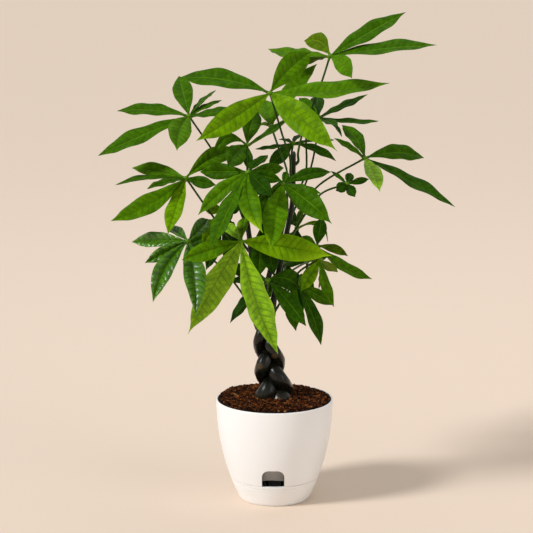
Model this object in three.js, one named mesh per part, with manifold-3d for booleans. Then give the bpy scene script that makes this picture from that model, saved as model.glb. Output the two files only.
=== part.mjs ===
// A potted money tree (Pachira): three plaited trunks with palmate leaves, in a white self-watering pot.
// Millimetres, +Z up. The origin is the middle of the pot's flat underside, and the water window faces -Y.
import * as THREE from "three";
import { mergeVertices } from "three/addons/utils/BufferGeometryUtils.js";
import Module from "manifold-3d";

const wasm = await Module();
wasm.setup();

// ---------------------------------------------------------------- driving dimensions

const GAP = 0.3; // clearance between pieces that rest on each other
const MERGE_DISTANCE = 1e-4; // vertices closer than this are one
const ROUND_STEPS = 28; // facets round the pot

const POT = {
  height: 102,
  rimRadius: 58.2,
  footRadius: 35,
  swell: 2.1, // how quickly the wall turns upright
  wall: 1.6,
  lip: 0.9, // height over which the rim is rounded
  lipFlat: 0.7, // width left flat on top of the rim
};
const BASE = {
  seam: 23, // height of the joint between the base and the shell
  floor: 2,
  edge: 1.5, // rounding round the flat underside
  grooveHeight: 19, // fine line below the joint
  grooveWidth: 0.8,
  grooveDepth: 0.5,
  tongue: 5, // upstand that the shell snaps over
  tongueWall: 1.4,
};
const WINDOW = { width: 22, top: 41.3, side: -1.5, cornerRadius: 7 };
const LEDGE = { height: 43.5, reach: 2, thickness: 1.6 };
const INSERT = {
  floorHeight: 31,
  floorRadius: 40,
  wall: 1.8,
  flange: 1.6,
  skirtBottom: 26.5,
  skirtRadius: 39.6,
  skirtWall: 1.4,
  notchRadius: 47, // arched cut in the skirt behind the window
  notchCentre: -18.3,
  notchDepth: [20, 60],
  footTopRadius: 13,
  footRadius: 10.5,
  slotWidth: 5,
  slotHeight: 14,
  slots: 4,
};
const SOIL = { edgeHeight: 101.4, crown: 3.4, mound: [0.9, 0.5] }; // mound: rings of the top, over its radius

// The plait, from the ends of the trunks in the soil up to where they part.
const PLAIT = {
  bottom: 78,
  top: 177,
  period: 84, // height in which a trunk comes back to its own side
  footRadius: 8.6,
  topRadius: 4.7,
  footSpread: 11.2,
  topSpread: 6.6,
  depth: 1.25, // sway front to back, as a multiple of the trunk's radius
  side: 1.2, // how far to the right of the pot's axis it starts
  lean: 12, // how far it leans to the left at its top
  stemFootRadius: 3.2, // where a trunk goes on as a thin stem
  shoulder: 6, // how quickly it narrows to that, in shares of the stem's length
  sides: 8,
  step: 9,
  stemSteps: 10,
};

const BLADE = {
  thickness: 0.7,
  slenderness: 0.26, // width over length of a leaflet that is seen flat
  fold: 0.26, // rise of each edge above the midrib, over the half width
  arch: 0.02, // rise of the midrib above a straight line, over the length
  widest: 0.6, // share of the length at which a leaflet is widest
  facing: 0.35, // a blade steeper than this has its upper side towards the viewer
  stalk: 1.0, // half width where the leaflet leaves the hub
  stations: [0, 0.2, 0.46, 0.74, 1], // shares of the length at which the blade bends
  shortStations: [0, 0.28, 0.66, 1],
  shortLength: 48,
};
const HUB = { radius: 2.9, sunk: 1.5 }; // leaflets start this far out from the hub's middle
const STALK = {
  footRadius: 1.5,
  tipRadius: 1.0,
  sides: 5,
  steps: 6,
  crowding: 1.7, // rings lie closer together towards the foot
  climb: 0.55,
};

// ---------------------------------------------------------------- the viewer's sheet

// Leaves and stems are placed as a person in front of the plant sees them: mm across from the left
// and mm down from the top of a sheet at the pot, and mm in front of the pot's axis.
const SIGHT = {
  eye: new THREE.Vector3(-8, -1833, 595.6),
  reach: 1894,
  tilt: THREE.MathUtils.degToRad(11.1),
  middle: 266.5,
};

function seen(across, down, front) {
  const side = across - SIGHT.middle;
  const rise = SIGHT.middle - down;
  const sightline = new THREE.Vector3(
    side,
    SIGHT.reach * Math.cos(SIGHT.tilt) + rise * Math.sin(SIGHT.tilt),
    rise * Math.cos(SIGHT.tilt) - SIGHT.reach * Math.sin(SIGHT.tilt),
  );
  const share = (-front - SIGHT.eye.y) / sightline.y;
  return sightline.multiplyScalar(share).add(SIGHT.eye);
}

// The thin stems that the three trunks go on as: points up each one, and its radius at the apex.
const STEMS = {
  trunk_a: {
    phaseHeight: 129,
    apexRadius: 2,
    route: [[273, 304, 4], [279, 270, 1], [286, 236, -4], [292, 205, -8], [294, 151, -10]],
  },
  trunk_b: {
    phaseHeight: 157,
    apexRadius: 2,
    route: [[264, 300, 5], [271, 268, 8], [280, 236, 12], [286, 212, 14], [286, 194, 14]],
  },
  trunk_c: {
    phaseHeight: 101,
    apexRadius: 2,
    route: [[256, 301, -7], [253, 270, -4], [249, 235, 0], [245, 205, 2], [243, 176, 2]],
  },
};

// Each leaf: the stem that it grows from and how far up (0 to 1), the route of its stalk, its hub, and
// its leaflets as [across, down, mm nearer the viewer than the hub, width as seen, arch if not usual,
// mm that it bows clockwise round the hub].
const LEAVES = {
  leaf_01: {
    stem: "trunk_c", at: 0.62, route: [[236, 200, -34], [218, 160, -38]], hub: [189, 116, -5],
    leaflets: [
      [117, 111, -30, 12, 0.04], [98, 156, 12, 15, 0.02, -2], [177, 151, 62, 23, 0.02, 3],
      [179, 76, -58, 20], [216, 90, -45, 4], [222, 100, -26, 5], [233, 108, 12, 8, 0.02, 2],
    ],
  },
  leaf_02: {
    stem: "trunk_a", at: 0.86, route: [[290, 158, -3], [283, 137, 4]], hub: [270, 93, 12],
    leaflets: [
      [179, 78, -30, 19, 0.04, 1], [196, 141, 45, 24, 0.02, -2], [337, 151, 50, 29],
      [390, 83, 0, 16, 0.02, 6], [311, 52, -34, 24, 0.02, -3],
    ],
  },
  leaf_03: {
    stem: "trunk_a", at: 0.93, route: [[298, 154, -13], [302, 135, -13], [322, 81, -14]], hub: [330, 56, -14],
    leaflets: [
      [406, 12, -30, 17, 0.02, 2], [437, 45, 6, 12, 0.02, 2], [352, 78, 52, 17, 0.02, -3],
      [304, 41, -38, 18, 0, 7], [268, 49, -66, 10, 0.02, -4], [292, 67, -62, 8],
    ],
  },
  leaf_04: {
    stem: "trunk_b", at: 0.95, route: [[287, 172, 0], [279, 149, -22]], hub: [271, 126, -38],
    leaflets: [[317, 64, -30, 17, 0.02, -3], [265, 100, -50, 19], [257, 124, -30, 4]],
  },
  leaf_05: {
    stem: "trunk_a", at: 0.63, route: [[310, 171, -62], [316, 143, -70]], hub: [319, 117, -74],
    leaflets: [
      [368, 94, -25, 7, 0.02, 4], [379, 121, 0, 5, 0, 3], [319, 95, -52, 15, 0.02, -2], [299, 98, -40, 12],
      [342, 137, 22, 3, 0.02, -3], [338, 126, 42, 7, 0.02, 1],
    ],
  },
  leaf_06: {
    stem: "trunk_a", at: 0.6, route: [[316, 188, -14]], hub: [365, 158, -20],
    leaflets: [
      [424, 158, -45, 16, 0.08], [455, 207, 16, 11, 0.02, 1], [342, 125, -52, 14, 0.02, 3],
      [334, 138, -14, 6], [380, 192, 58, 15, 0.02, -1],
    ],
  },
  leaf_07: {
    stem: "trunk_a", at: 0.53, route: [[321, 194, 4]], hub: [347, 184, 4],
    leaflets: [
      [351, 173, -20, 9], [369, 179, -4, 7], [355, 197, 20, 10], [336, 191, 20, 11], [331, 171, -12, 4],
    ],
  },
  leaf_08: {
    stem: "trunk_a", at: 0.79, route: [[291, 162, -30]], hub: [293, 143, -48],
    leaflets: [
      [255, 149, 0, 4, 0.02, -2], [279, 139, -30, 3], [268, 166, 30, 14, 0.02, -1],
      [336, 161, 20, 8, 0.02, -2], [335, 140, -10, 3], [301, 134, -35, 5],
    ],
  },
  leaf_09: {
    stem: "trunk_b", at: 0.96, route: [], hub: [283, 184, 40],
    leaflets: [
      [331, 172, -25, 12, 0.02, -2], [322, 194, 4, 6], [332, 224, 34, 23, 0.02, -1], [271, 252, 56, 23, 0.02, 2],
      [258, 202, 6, 8], [287, 171, -24, 7], [295, 177, -20, 6],
    ],
  },
  leaf_10: {
    stem: "trunk_c", at: 0.9, route: [], hub: [248, 172, 40],
    leaflets: [
      [268, 155, -36, 8], [284, 168, -30, 12], [282, 181, 4, 11], [272, 196, 40, 16],
      [263, 233, 54, 20, 0.02, 6], [211, 250, 50, 15], [198, 215, 0, 15], [200, 172, -30, 16],
    ],
  },
  leaf_11: {
    stem: "trunk_c", at: 0.97, route: [], hub: [247, 145, -6],
    leaflets: [
      [258, 111, -40, 18, 0.02, -2], [212, 158, 12, 12, 0.3, 6], [228, 168, 50, 20, 0.02, 2], [248, 170, 34, 10],
      [291, 116, -20, 6, 0.02, 3],
    ],
  },
  leaf_12: {
    stem: "trunk_c", at: 0.45, route: [[209, 211, 12]], hub: [186, 178, 8],
    leaflets: [
      [132, 168, -30, 13, 0.04], [115, 185, -10, 5, 0.06, -1], [147, 189, 34, 6],
      [111, 221, 26, 20, 0.02, -5], [168, 234, 50, 17], [216, 185, 24, 12, 0.02, 1],
      [240, 150, -44, 18, 0.02, -5],
    ],
  },
  leaf_13: {
    stem: "trunk_c", at: 0.12, route: [[222, 268, 24]], hub: [188, 241, 36],
    leaflets: [
      [132, 242, -26, 15], [145, 263, 10, 13], [153, 302, 36, 18, 0.02, 4],
      [196, 317, 58, 21], [208, 219, -40, 14], [168, 227, -40, 10],
    ],
  },
  leaf_14: {
    stem: "trunk_b", at: 0.14, route: [[252, 272, 44]], hub: [241, 241, 72],
    leaflets: [
      [182, 260, 6, 18], [188, 334, -27, 26, 0.02, 1], [278, 354, 36, 24, 0.02, 6],
      [332, 256, -14, 25], [224, 223, -40, 11], [245, 216, -45, 11],
    ],
  },
  leaf_15: {
    stem: "trunk_a", at: 0.34, route: [[298, 256, -20]], hub: [317, 246, -36],
    leaflets: [[322, 217, -8, 14], [302, 236, -8, 8], [348, 256, 20, 9, 0.02, -2], [372, 279, -10, 11, 0, 6]],
  },
  leaf_16: {
    stem: "trunk_a", at: 0.5, route: [[292, 236, -30]], hub: [297, 228, -56],
    leaflets: [
      [328, 243, -4, 6, 0.3, -3], [302, 262, 4, 12], [302, 208, -14, 7], [286, 208, -30, 12],
      [280, 262, 26, 14],
    ],
  },
  leaf_17: {
    stem: "trunk_a", at: 0.18, route: [[300, 271, 8]], hub: [320, 259, 10],
    leaflets: [
      [301, 291, 24, 14], [334, 307, 12, 10, 0.02, 3], [338, 272, -30, 9, 0.02, 2], [308, 262, -38, 6],
      [319, 289, -20, 4],
    ],
  },
  leaf_18: {
    stem: "trunk_a", at: 0.08, route: [[287, 292, -18]], hub: [297, 284, -26],
    leaflets: [
      [321, 345, 8, 14, 0.02, -3], [296, 331, 28, 15, 0.02, 4], [333, 305, -20, 13],
      [306, 275, -32, 9],
    ],
  },
  leaf_19: {
    stem: "trunk_b", at: 0.06, route: [[268, 290, 22]], hub: [268, 280, 32],
    leaflets: [
      [306, 326, 24, 17, 0.02, -1], [299, 289, -12, 20, 0.1, -4], [230, 323, 10, 10, 0.02, 1], [229, 279, -34, 8, 0.02, -2],
      [228, 266, -36, 14],
    ],
  },
  leaf_20: {
    stem: "trunk_b", at: 0.62, route: [[268, 216, -46]], hub: [264, 198, -98],
    leaflets: [
      [240, 214, -10, 12], [240, 176, -40, 12], [266, 172, -56, 14], [294, 180, -30, 11],
      [281, 224, 8, 12], [273, 242, 20, 14],
    ],
  },
  leaf_21: {
    stem: "trunk_c", at: 0.3, route: [[238, 246, -36]], hub: [222, 232, -66],
    leaflets: [
      [186, 246, -8, 12], [204, 222, -40, 12], [229, 206, -52, 14], [234, 222, -40, 10],
      [206, 270, 18, 12], [236, 268, 0, 16],
    ],
  },
  leaf_22: {
    stem: "trunk_a", at: 0.26, route: [[296, 268, -46]], hub: [307, 262, -92],
    leaflets: [
      [266, 264, -10, 13], [276, 238, -46, 12], [328, 254, -34, 10],
      [309, 304, 14, 11],
    ],
  },
  leaf_23: {
    stem: "trunk_a", at: 0.72, route: [[306, 171, -54], [306, 139, -62]], hub: [306, 122, -60],
    leaflets: [[301, 106, -6, 9], [313, 107, -10, 10], [318, 130, 10, 8], [292, 128, 10, 8]],
  },
  leaf_24: {
    stem: "trunk_b", at: 0.5, route: [], hub: [263, 222, 34],
    leaflets: [
      [240, 208, -16, 14], [258, 278, 4, 18], [274, 276, 8, 16], [294, 256, -4, 13], [263, 191, -24, 12],
    ],
  },
  leaf_25: {
    stem: "trunk_a", at: 0.14, route: [[284, 276, -30]], hub: [285, 264, -54],
    leaflets: [
      [303, 316, 16, 12], [266, 300, -4, 12], [311, 300, -8, 13], [262, 262, -24, 13],
    ],
  },
  leaf_26: {
    stem: "trunk_c", at: 0.5, route: [], hub: [224, 210, -22],
    leaflets: [[204, 208, -14, 12], [202, 246, 10, 14], [236, 256, 12, 14], [241, 206, 10, 13]],
  },
};

// ---------------------------------------------------------------- solids

// A closed geometry as a solid that can be joined and cut, without the triangles that merging closes up.
function solid(geometry) {
  geometry.deleteAttribute("normal");
  geometry.deleteAttribute("uv");
  const merged = mergeVertices(geometry, MERGE_DISTANCE);
  const corners = [];
  for (let i = 0; i < merged.index.count; i += 3) {
    const [a, b, c] = [0, 1, 2].map((k) => merged.index.getX(i + k));
    if (a !== b && b !== c && c !== a) corners.push(a, b, c);
  }
  const mesh = new wasm.Mesh({
    numProp: 3,
    vertProperties: merged.attributes.position.array,
    triVerts: new Uint32Array(corners),
  });
  return new wasm.Manifold(mesh);
}

// A solid as a mesh, ready for the group.
function named(name, body, material) {
  const { vertProperties, triVerts } = body.getMesh();
  const geometry = new THREE.BufferGeometry();
  geometry.setAttribute("position", new THREE.BufferAttribute(vertProperties, 3));
  geometry.setIndex(new THREE.BufferAttribute(triVerts, 1));
  geometry.computeVertexNormals();
  const mesh = new THREE.Mesh(geometry, material);
  mesh.name = name;
  return mesh;
}

function lathe(profile) {
  const geometry = new THREE.LatheGeometry(
    profile.map(([radius, height]) => new THREE.Vector2(radius, height)),
    ROUND_STEPS,
  );
  return solid(geometry.rotateX(Math.PI / 2));
}

// Rings of points joined into a closed tube with flat ends.
function loft(rings) {
  const count = rings[0].length;
  const points = [...rings.flat(), middleOf(rings[0]), middleOf(rings.at(-1))];
  const index = [];
  const first = rings.length * count;
  for (let k = 0; k < count; k++) {
    const next = (k + 1) % count;
    for (let i = 0; i + 1 < rings.length; i++) {
      const [low, high] = [i * count, (i + 1) * count];
      index.push(low + k, low + next, high + next, low + k, high + next, high + k);
    }
    const last = (rings.length - 1) * count;
    index.push(first, next, k, first + 1, last + k, last + next);
  }
  return solid(new THREE.BufferGeometry().setFromPoints(points).setIndex(index));
}

function middleOf(ring) {
  return ring.reduce((sum, p) => sum.add(p), new THREE.Vector3()).divideScalar(ring.length);
}

// A round tube along points, with a radius for each point.
function taperedTube(points, radii, sides) {
  const rings = [];
  let across = new THREE.Vector3(1, 0, 0);
  points.forEach((point, i) => {
    const before = points[Math.max(i - 1, 0)];
    const after = points[Math.min(i + 1, points.length - 1)];
    const along = after.clone().sub(before).normalize();
    across = across.clone().addScaledVector(along, -across.dot(along)).normalize();
    const other = along.clone().cross(across);
    rings.push(
      Array.from({ length: sides }, (_, k) => {
        const turn = (2 * Math.PI * k) / sides;
        return point
          .clone()
          .addScaledVector(across, radii[i] * Math.cos(turn))
          .addScaledVector(other, radii[i] * Math.sin(turn));
      }),
    );
  });
  return loft(rings);
}

// Rows of points as a thin closed sheet, split into triangles alike on both faces.
function sheet(rows, normal, thickness) {
  const half = normal.clone().multiplyScalar(thickness / 2);
  const top = rows.flat().map((p) => p.clone().add(half));
  const bottom = rows.flat().map((p) => p.clone().sub(half));
  const under = top.length;
  const width = rows[0].length;
  const index = [];
  for (let i = 0; i + 1 < rows.length; i++)
    for (let k = 0; k + 1 < width; k++) {
      const [a, b] = [i * width + k, i * width + k + 1];
      const [c, d] = [a + width, b + width];
      index.push(a, b, d, a, d, c);
      index.push(under + a, under + d, under + b, under + a, under + c, under + d);
    }
  const wall = (p, q) => index.push(p, under + p, under + q, p, under + q, q);
  for (let i = 0; i + 1 < rows.length; i++) {
    wall((i + 1) * width, i * width);
    wall(i * width + width - 1, (i + 1) * width + width - 1);
  }
  const end = (rows.length - 1) * width;
  for (let k = 0; k + 1 < width; k++) {
    wall(k, k + 1);
    wall(end + k + 1, end + k);
  }
  return solid(new THREE.BufferGeometry().setFromPoints([...top, ...bottom]).setIndex(index));
}

// ---------------------------------------------------------------- pot

function wallRadius(height) {
  const below = 1 - height / POT.height;
  return POT.rimRadius - (POT.rimRadius - POT.footRadius) * below ** POT.swell;
}

function innerRadius(height) {
  return wallRadius(height) - POT.wall;
}

function steps(from, to, count) {
  return Array.from({ length: count + 1 }, (_, i) => from + ((to - from) * i) / count);
}

function ledgeRadius() {
  return innerRadius(LEDGE.height - LEDGE.thickness) - LEDGE.reach;
}

function windowCutter() {
  const half = WINDOW.width / 2;
  const bottom = BASE.seam - GAP;
  const rounding = WINDOW.top - WINDOW.cornerRadius;
  const arch = new THREE.Shape();
  arch.moveTo(-half, bottom);
  arch.lineTo(half, bottom);
  arch.absarc(half - WINDOW.cornerRadius, rounding, WINDOW.cornerRadius, 0, Math.PI / 2);
  arch.absarc(WINDOW.cornerRadius - half, rounding, WINDOW.cornerRadius, Math.PI / 2, Math.PI);
  const slab = new THREE.ExtrudeGeometry(arch, {
    depth: POT.rimRadius,
    bevelEnabled: false,
    curveSegments: 5,
  });
  return solid(slab.rotateX(Math.PI / 2).translate(WINDOW.side, 0, 0));
}

function potShell() {
  const low = BASE.seam + GAP / 2;
  const rim = POT.height - POT.lip;
  const lipRadius = wallRadius(rim) - (POT.wall - POT.lipFlat) / 2;
  const outside = steps(low, rim, 5).map((z) => [wallRadius(z), z]);
  const lip = [[lipRadius, POT.height], [lipRadius - POT.lipFlat, POT.height]];
  const aboveLedge = steps(rim, LEDGE.height, 3).map((z) => [innerRadius(z), z]);
  const underLedge = LEDGE.height - LEDGE.thickness;
  const ledge = [
    [ledgeRadius(), LEDGE.height],
    [ledgeRadius(), underLedge],
    [innerRadius(underLedge - LEDGE.reach), underLedge - LEDGE.reach],
  ];
  const inside = steps(underLedge - LEDGE.reach, low, 1).slice(1).map((z) => [innerRadius(z), z]);
  const profile = [...outside, ...lip, ...aboveLedge, ...ledge, ...inside];
  return lathe([...profile, profile[0]]).subtract(windowCutter());
}

function potBase() {
  const top = BASE.seam - GAP / 2;
  const { grooveHeight: groove, grooveDepth, grooveWidth } = BASE;
  const tongueTop = BASE.seam + BASE.tongue;
  const tongueRadius = (z) => innerRadius(z) - GAP;
  const profile = [
    [0, 0],
    [wallRadius(0) - BASE.edge, 0],
    [wallRadius(0) - BASE.edge * (1 - Math.SQRT1_2), BASE.edge * (1 - Math.SQRT1_2)],
    ...steps(BASE.edge, groove, 3).map((z) => [wallRadius(z), z]),
    [wallRadius(groove) - grooveDepth, groove + grooveWidth / 2],
    [wallRadius(groove + grooveWidth), groove + grooveWidth],
    [wallRadius(top), top],
    [tongueRadius(top), top],
    [tongueRadius(tongueTop), tongueTop],
    [tongueRadius(tongueTop) - BASE.tongueWall, tongueTop],
    [innerRadius(top) - BASE.tongueWall - GAP, top],
    ...steps(groove, BASE.floor + BASE.edge, 2).map((z) => [innerRadius(z) - BASE.edge / 2, z]),
    [innerRadius(BASE.floor) - BASE.edge, BASE.floor],
    [0, BASE.floor],
  ];
  return lathe(profile).subtract(windowCutter().translate([0, 0, GAP / 2]));
}

function soilInsert() {
  const { floorHeight, floorRadius, wall, flange, footTopRadius, footRadius } = INSERT;
  const { skirtBottom, skirtRadius, skirtWall } = INSERT;
  const flangeHeight = LEDGE.height + GAP;
  const bottom = BASE.floor + GAP;
  const flangeRadius = innerRadius(flangeHeight) - GAP;
  const neckRadius = ledgeRadius() - GAP;
  const cup = lathe([
    [0, bottom],
    [footRadius, bottom],
    [footTopRadius, floorHeight],
    [skirtRadius - skirtWall, floorHeight],
    [skirtRadius - skirtWall, skirtBottom],
    [skirtRadius, skirtBottom],
    [floorRadius, floorHeight],
    [neckRadius, LEDGE.height - LEDGE.thickness],
    [neckRadius, flangeHeight],
    [flangeRadius, flangeHeight],
    [flangeRadius, flangeHeight + flange],
    [neckRadius - wall, flangeHeight + flange],
    [floorRadius - wall / 2, floorHeight + wall],
    [footTopRadius - wall, floorHeight + wall],
    [footRadius - wall, bottom + wall],
    [0, bottom + wall],
  ]);
  const slotLow = bottom + wall + 2;
  const slots = Array.from({ length: INSERT.slots }, (_, i) => {
    const slot = new THREE.BoxGeometry(INSERT.slotWidth, footTopRadius, INSERT.slotHeight);
    slot.translate(0, footRadius, slotLow + INSERT.slotHeight / 2);
    return solid(slot.rotateZ((2 * Math.PI * (i + 0.5)) / INSERT.slots));
  });
  return cup.subtract(wasm.Manifold.union([...slots, notchCutter()]));
}

// The arched opening in the skirt through which water is poured.
function notchCutter() {
  const [behind, before] = INSERT.notchDepth;
  const drum = new THREE.CylinderGeometry(INSERT.notchRadius, INSERT.notchRadius, before - behind, 96);
  return solid(drum.translate(WINDOW.side, -(behind + before) / 2, INSERT.notchCentre));
}

// ---------------------------------------------------------------- trunks

function mix(from, to, share) {
  return from + (to - from) * share;
}

function plaitShare(height) {
  return THREE.MathUtils.clamp((height - POT.height) / (PLAIT.top - POT.height), 0, 1);
}

function plaitPoint(height, phaseHeight) {
  const share = plaitShare(height);
  const turn = (2 * Math.PI * (height - phaseHeight)) / PLAIT.period;
  const lean = PLAIT.side - PLAIT.lean * share;
  const side = lean - mix(PLAIT.footSpread, PLAIT.topSpread, share) * Math.cos(turn);
  const front = PLAIT.depth * plaitRadius(height) * Math.sin(2 * turn);
  return new THREE.Vector3(side, -front, height);
}

function plaitRadius(height) {
  return mix(PLAIT.footRadius, PLAIT.topRadius, plaitShare(height));
}

// A trunk as the points of its middle line and the radius at each.
function trunkLine({ phaseHeight, apexRadius, route }) {
  const plaitSteps = Math.round((PLAIT.top - PLAIT.bottom) / PLAIT.step);
  const heights = steps(PLAIT.bottom, PLAIT.top, plaitSteps);
  const plait = heights.map((z) => plaitPoint(z, phaseHeight));
  const stem = new THREE.CatmullRomCurve3([
    plait.at(-1),
    ...route.map(([across, down, front]) => seen(across, down, front)),
  ]);
  const stemPoints = stem.getSpacedPoints(PLAIT.stemSteps).slice(1);
  const slim = (share) => mix(PLAIT.stemFootRadius, apexRadius, share);
  const shoulder = (share) => mix(PLAIT.topRadius, slim(share), share * PLAIT.shoulder);
  const radiusAt = (share) => Math.max(slim(share), shoulder(share));
  const stemRadii = stemPoints.map((_, i) => radiusAt((i + 1) / PLAIT.stemSteps));
  return {
    points: [...plait, ...stemPoints],
    radii: [...heights.map(plaitRadius), ...stemRadii],
    stem,
    radiusAt,
  };
}

// The trunk, or with extra the room that it needs.
function trunkSolid({ points, radii }, extra = 0) {
  const low = points[0].clone().setZ(points[0].z - extra);
  const high = points.at(-1).clone().setZ(points.at(-1).z + extra);
  const line = [low, ...points.slice(1, -1), high];
  return taperedTube(line, radii.map((r) => r + extra), PLAIT.sides);
}

const trunkLines = Object.fromEntries(
  Object.entries(STEMS).map(([name, stem]) => [name, trunkLine(stem)]),
);

// ---------------------------------------------------------------- leaves

// The half width of a leaflet at a share of its length, over its greatest half width.
function leafletOutline(share) {
  const { widest } = BLADE;
  if (share < widest) return Math.sin((Math.PI / 2) * (share / widest)) ** 1.25;
  return Math.cos((Math.PI / 2) * ((share - widest) / (1 - widest))) ** 0.85;
}

function leaflet(hub, tip, seenWidth, arch, sway) {
  const chord = tip.clone().sub(hub);
  const length = chord.length();
  const along = chord.normalize();
  const toEye = SIGHT.eye.clone().sub(hub).normalize();
  const side = along.clone().cross(toEye).normalize();
  const facing = side.clone().cross(along);
  const width = Math.max(seenWidth, BLADE.slenderness * length);
  const roll = Math.acos(seenWidth / width);
  const normals = [roll, -roll].map((angle) =>
    facing.clone().multiplyScalar(Math.cos(angle)).addScaledVector(side, Math.sin(angle)),
  );
  normals.sort((a, b) => Math.abs(b.z) - Math.abs(a.z));
  const upper = normals[0];
  const steep = Math.abs(upper.z) < BLADE.facing;
  if ((steep ? upper.dot(toEye) : upper.z) < 0) upper.negate();
  const across = along.clone().cross(upper);
  const skyward = new THREE.Vector3(0, 0, 1).addScaledVector(along, -along.z);
  const bend = upper.clone().add(skyward).normalize().multiplyScalar(arch * length);
  bend.addScaledVector(side, sway);
  const stations = length < BLADE.shortLength ? BLADE.shortStations : BLADE.stations;
  const rows = stations.map((share) => {
    const spread = leafletOutline(share) * (width / 2);
    const half = share < 1 ? Math.max(spread, BLADE.stalk) : 0;
    const middle = hub
      .clone()
      .addScaledVector(along, Math.max(share * length, HUB.sunk))
      .addScaledVector(bend, 4 * share * (1 - share));
    return [-half, 0, half].map((offset) =>
      middle
        .clone()
        .addScaledVector(across, offset)
        .addScaledVector(upper, Math.abs(offset) * BLADE.fold),
    );
  });
  return sheet(rows, upper, BLADE.thickness);
}

// The stalk leaves its stem slanting up, GAP off the bark, and ends in the hub.
function stalk({ stem, at, route }, hub) {
  const { stem: curve, radiusAt } = trunkLines[stem];
  const root = curve.getPointAt(at);
  const rising = curve.getTangentAt(at);
  const points = [...route.map(([across, down, front]) => seen(across, down, front)), hub];
  const outward = points[0].clone().sub(root);
  outward.addScaledVector(rising, -outward.dot(rising)).normalize();
  const start = outward.clone().addScaledVector(rising, STALK.climb).normalize();
  const tilt = Math.sqrt(1 - start.dot(outward) ** 2);
  const clear = radiusAt(at) + GAP + STALK.footRadius * tilt;
  const foot = root.clone().addScaledVector(outward, clear);
  const collar = foot.clone().addScaledVector(start, 2 * STALK.footRadius);
  const line = new THREE.CatmullRomCurve3([foot, collar, ...points]);
  const share = steps(0, 1, STALK.steps).map((s) => s ** STALK.crowding);
  const radii = share.map((s) => mix(STALK.footRadius, STALK.tipRadius, Math.min(1, 3 * s)));
  return taperedTube(share.map((s) => line.getPointAt(s)), radii, STALK.sides);
}

function leafSolid(leaf) {
  const hub = seen(...leaf.hub);
  const knob = solid(new THREE.IcosahedronGeometry(HUB.radius, 0).translate(hub.x, hub.y, hub.z));
  const blades = leaf.leaflets.map(([across, down, nearer, width, arch = BLADE.arch, sway = 0]) =>
    leaflet(hub, seen(across, down, leaf.hub[2] + nearer), width, arch, sway),
  );
  return wasm.Manifold.union([knob, stalk(leaf, hub), ...blades]);
}

// ---------------------------------------------------------------- soil

function soilBody(trunkHoles) {
  const top = SOIL.edgeHeight;
  const bottom = LEDGE.height + INSERT.flange + 2 * GAP;
  const { floorHeight, floorRadius, wall, footTopRadius, footRadius } = INSERT;
  const neckRadius = ledgeRadius() - GAP;
  const footBottom = BASE.floor + wall + 2 * GAP;
  const mound = SOIL.mound.map((share) => [
    innerRadius(top) * share,
    top + SOIL.crown * (1 - share ** 4),
  ]);
  const heap = lathe([
    [0, footBottom],
    [footRadius - wall - GAP, footBottom],
    [footTopRadius - wall - GAP, floorHeight + wall + GAP],
    [floorRadius - wall / 2 - GAP, floorHeight + wall + GAP],
    [neckRadius - wall - GAP, bottom],
    ...steps(bottom, top, 3).map((z) => [innerRadius(z) - GAP, z]),
    ...mound,
    [0, top + SOIL.crown],
  ]);
  return heap.subtract(wasm.Manifold.union(trunkHoles));
}

// ---------------------------------------------------------------- assembly

const FINISHES = {
  white: { color: 0xf2f1ee, roughness: 0.35 },
  grey: { color: 0x6d6f70, roughness: 0.6 },
  earth: { color: 0x3a2118, roughness: 1 },
  bark: { color: 0x26251f, roughness: 0.55 },
  leafGreen: { color: 0x3f8a1e, roughness: 0.45 },
};

function finish(name) {
  return new THREE.MeshStandardMaterial({ metalness: 0, ...FINISHES[name] });
}

const plant = new THREE.Group();
plant.add(named("pot_shell", potShell(), finish("white")));
plant.add(named("pot_base", potBase(), finish("white")));
plant.add(named("soil_insert", soilInsert(), finish("grey")));

const lines = Object.entries(trunkLines);
plant.add(named("soil", soilBody(lines.map(([, line]) => trunkSolid(line, GAP))), finish("earth")));
lines.forEach(([name, line], i) => {
  const neighbours = lines.slice(0, i).map(([, other]) => trunkSolid(other, GAP));
  const body = neighbours.reduce((left, other) => left.subtract(other), trunkSolid(line));
  plant.add(named(name, body, finish("bark")));
});

for (const [name, leaf] of Object.entries(LEAVES))
  plant.add(named(name, leafSolid(leaf), finish("leafGreen")));

export default plant;
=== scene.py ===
"""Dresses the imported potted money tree: fine shapes, finishes, studio light and camera."""

import logging
import math
from collections.abc import Callable, Sequence
from dataclasses import Field, dataclass, field, fields
from enum import Enum

import bmesh
import bpy
import numpy as np
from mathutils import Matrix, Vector, noise


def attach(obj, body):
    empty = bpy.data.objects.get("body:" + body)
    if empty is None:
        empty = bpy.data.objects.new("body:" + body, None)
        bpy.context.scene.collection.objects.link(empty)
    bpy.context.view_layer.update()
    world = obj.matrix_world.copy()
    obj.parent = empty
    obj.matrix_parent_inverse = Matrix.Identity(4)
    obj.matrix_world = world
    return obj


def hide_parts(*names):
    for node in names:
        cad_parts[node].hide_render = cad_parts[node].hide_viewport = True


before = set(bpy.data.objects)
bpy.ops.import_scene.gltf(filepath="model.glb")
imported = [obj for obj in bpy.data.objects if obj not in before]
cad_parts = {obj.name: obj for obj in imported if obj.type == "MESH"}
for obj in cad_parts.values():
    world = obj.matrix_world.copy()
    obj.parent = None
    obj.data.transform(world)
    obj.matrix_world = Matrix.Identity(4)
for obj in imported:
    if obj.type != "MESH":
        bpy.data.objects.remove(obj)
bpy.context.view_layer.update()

LOG = logging.getLogger("money_tree")
MM = 0.001
BODY = "root"
GAP = 0.3
TURN = 2 * math.pi
MERGE_DISTANCE = 1e-7
SLIVER_LENGTH = 1e-8
MOULDED_CREASE = 32.0
Colour = tuple[float, float, float]
Spot = tuple[float, float, float]
Corner = tuple[float, float, float]
Span = tuple[float, float]
Socket = bpy.types.NodeSocket
Sockets = dict[str, Socket]
Array = np.ndarray
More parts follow.
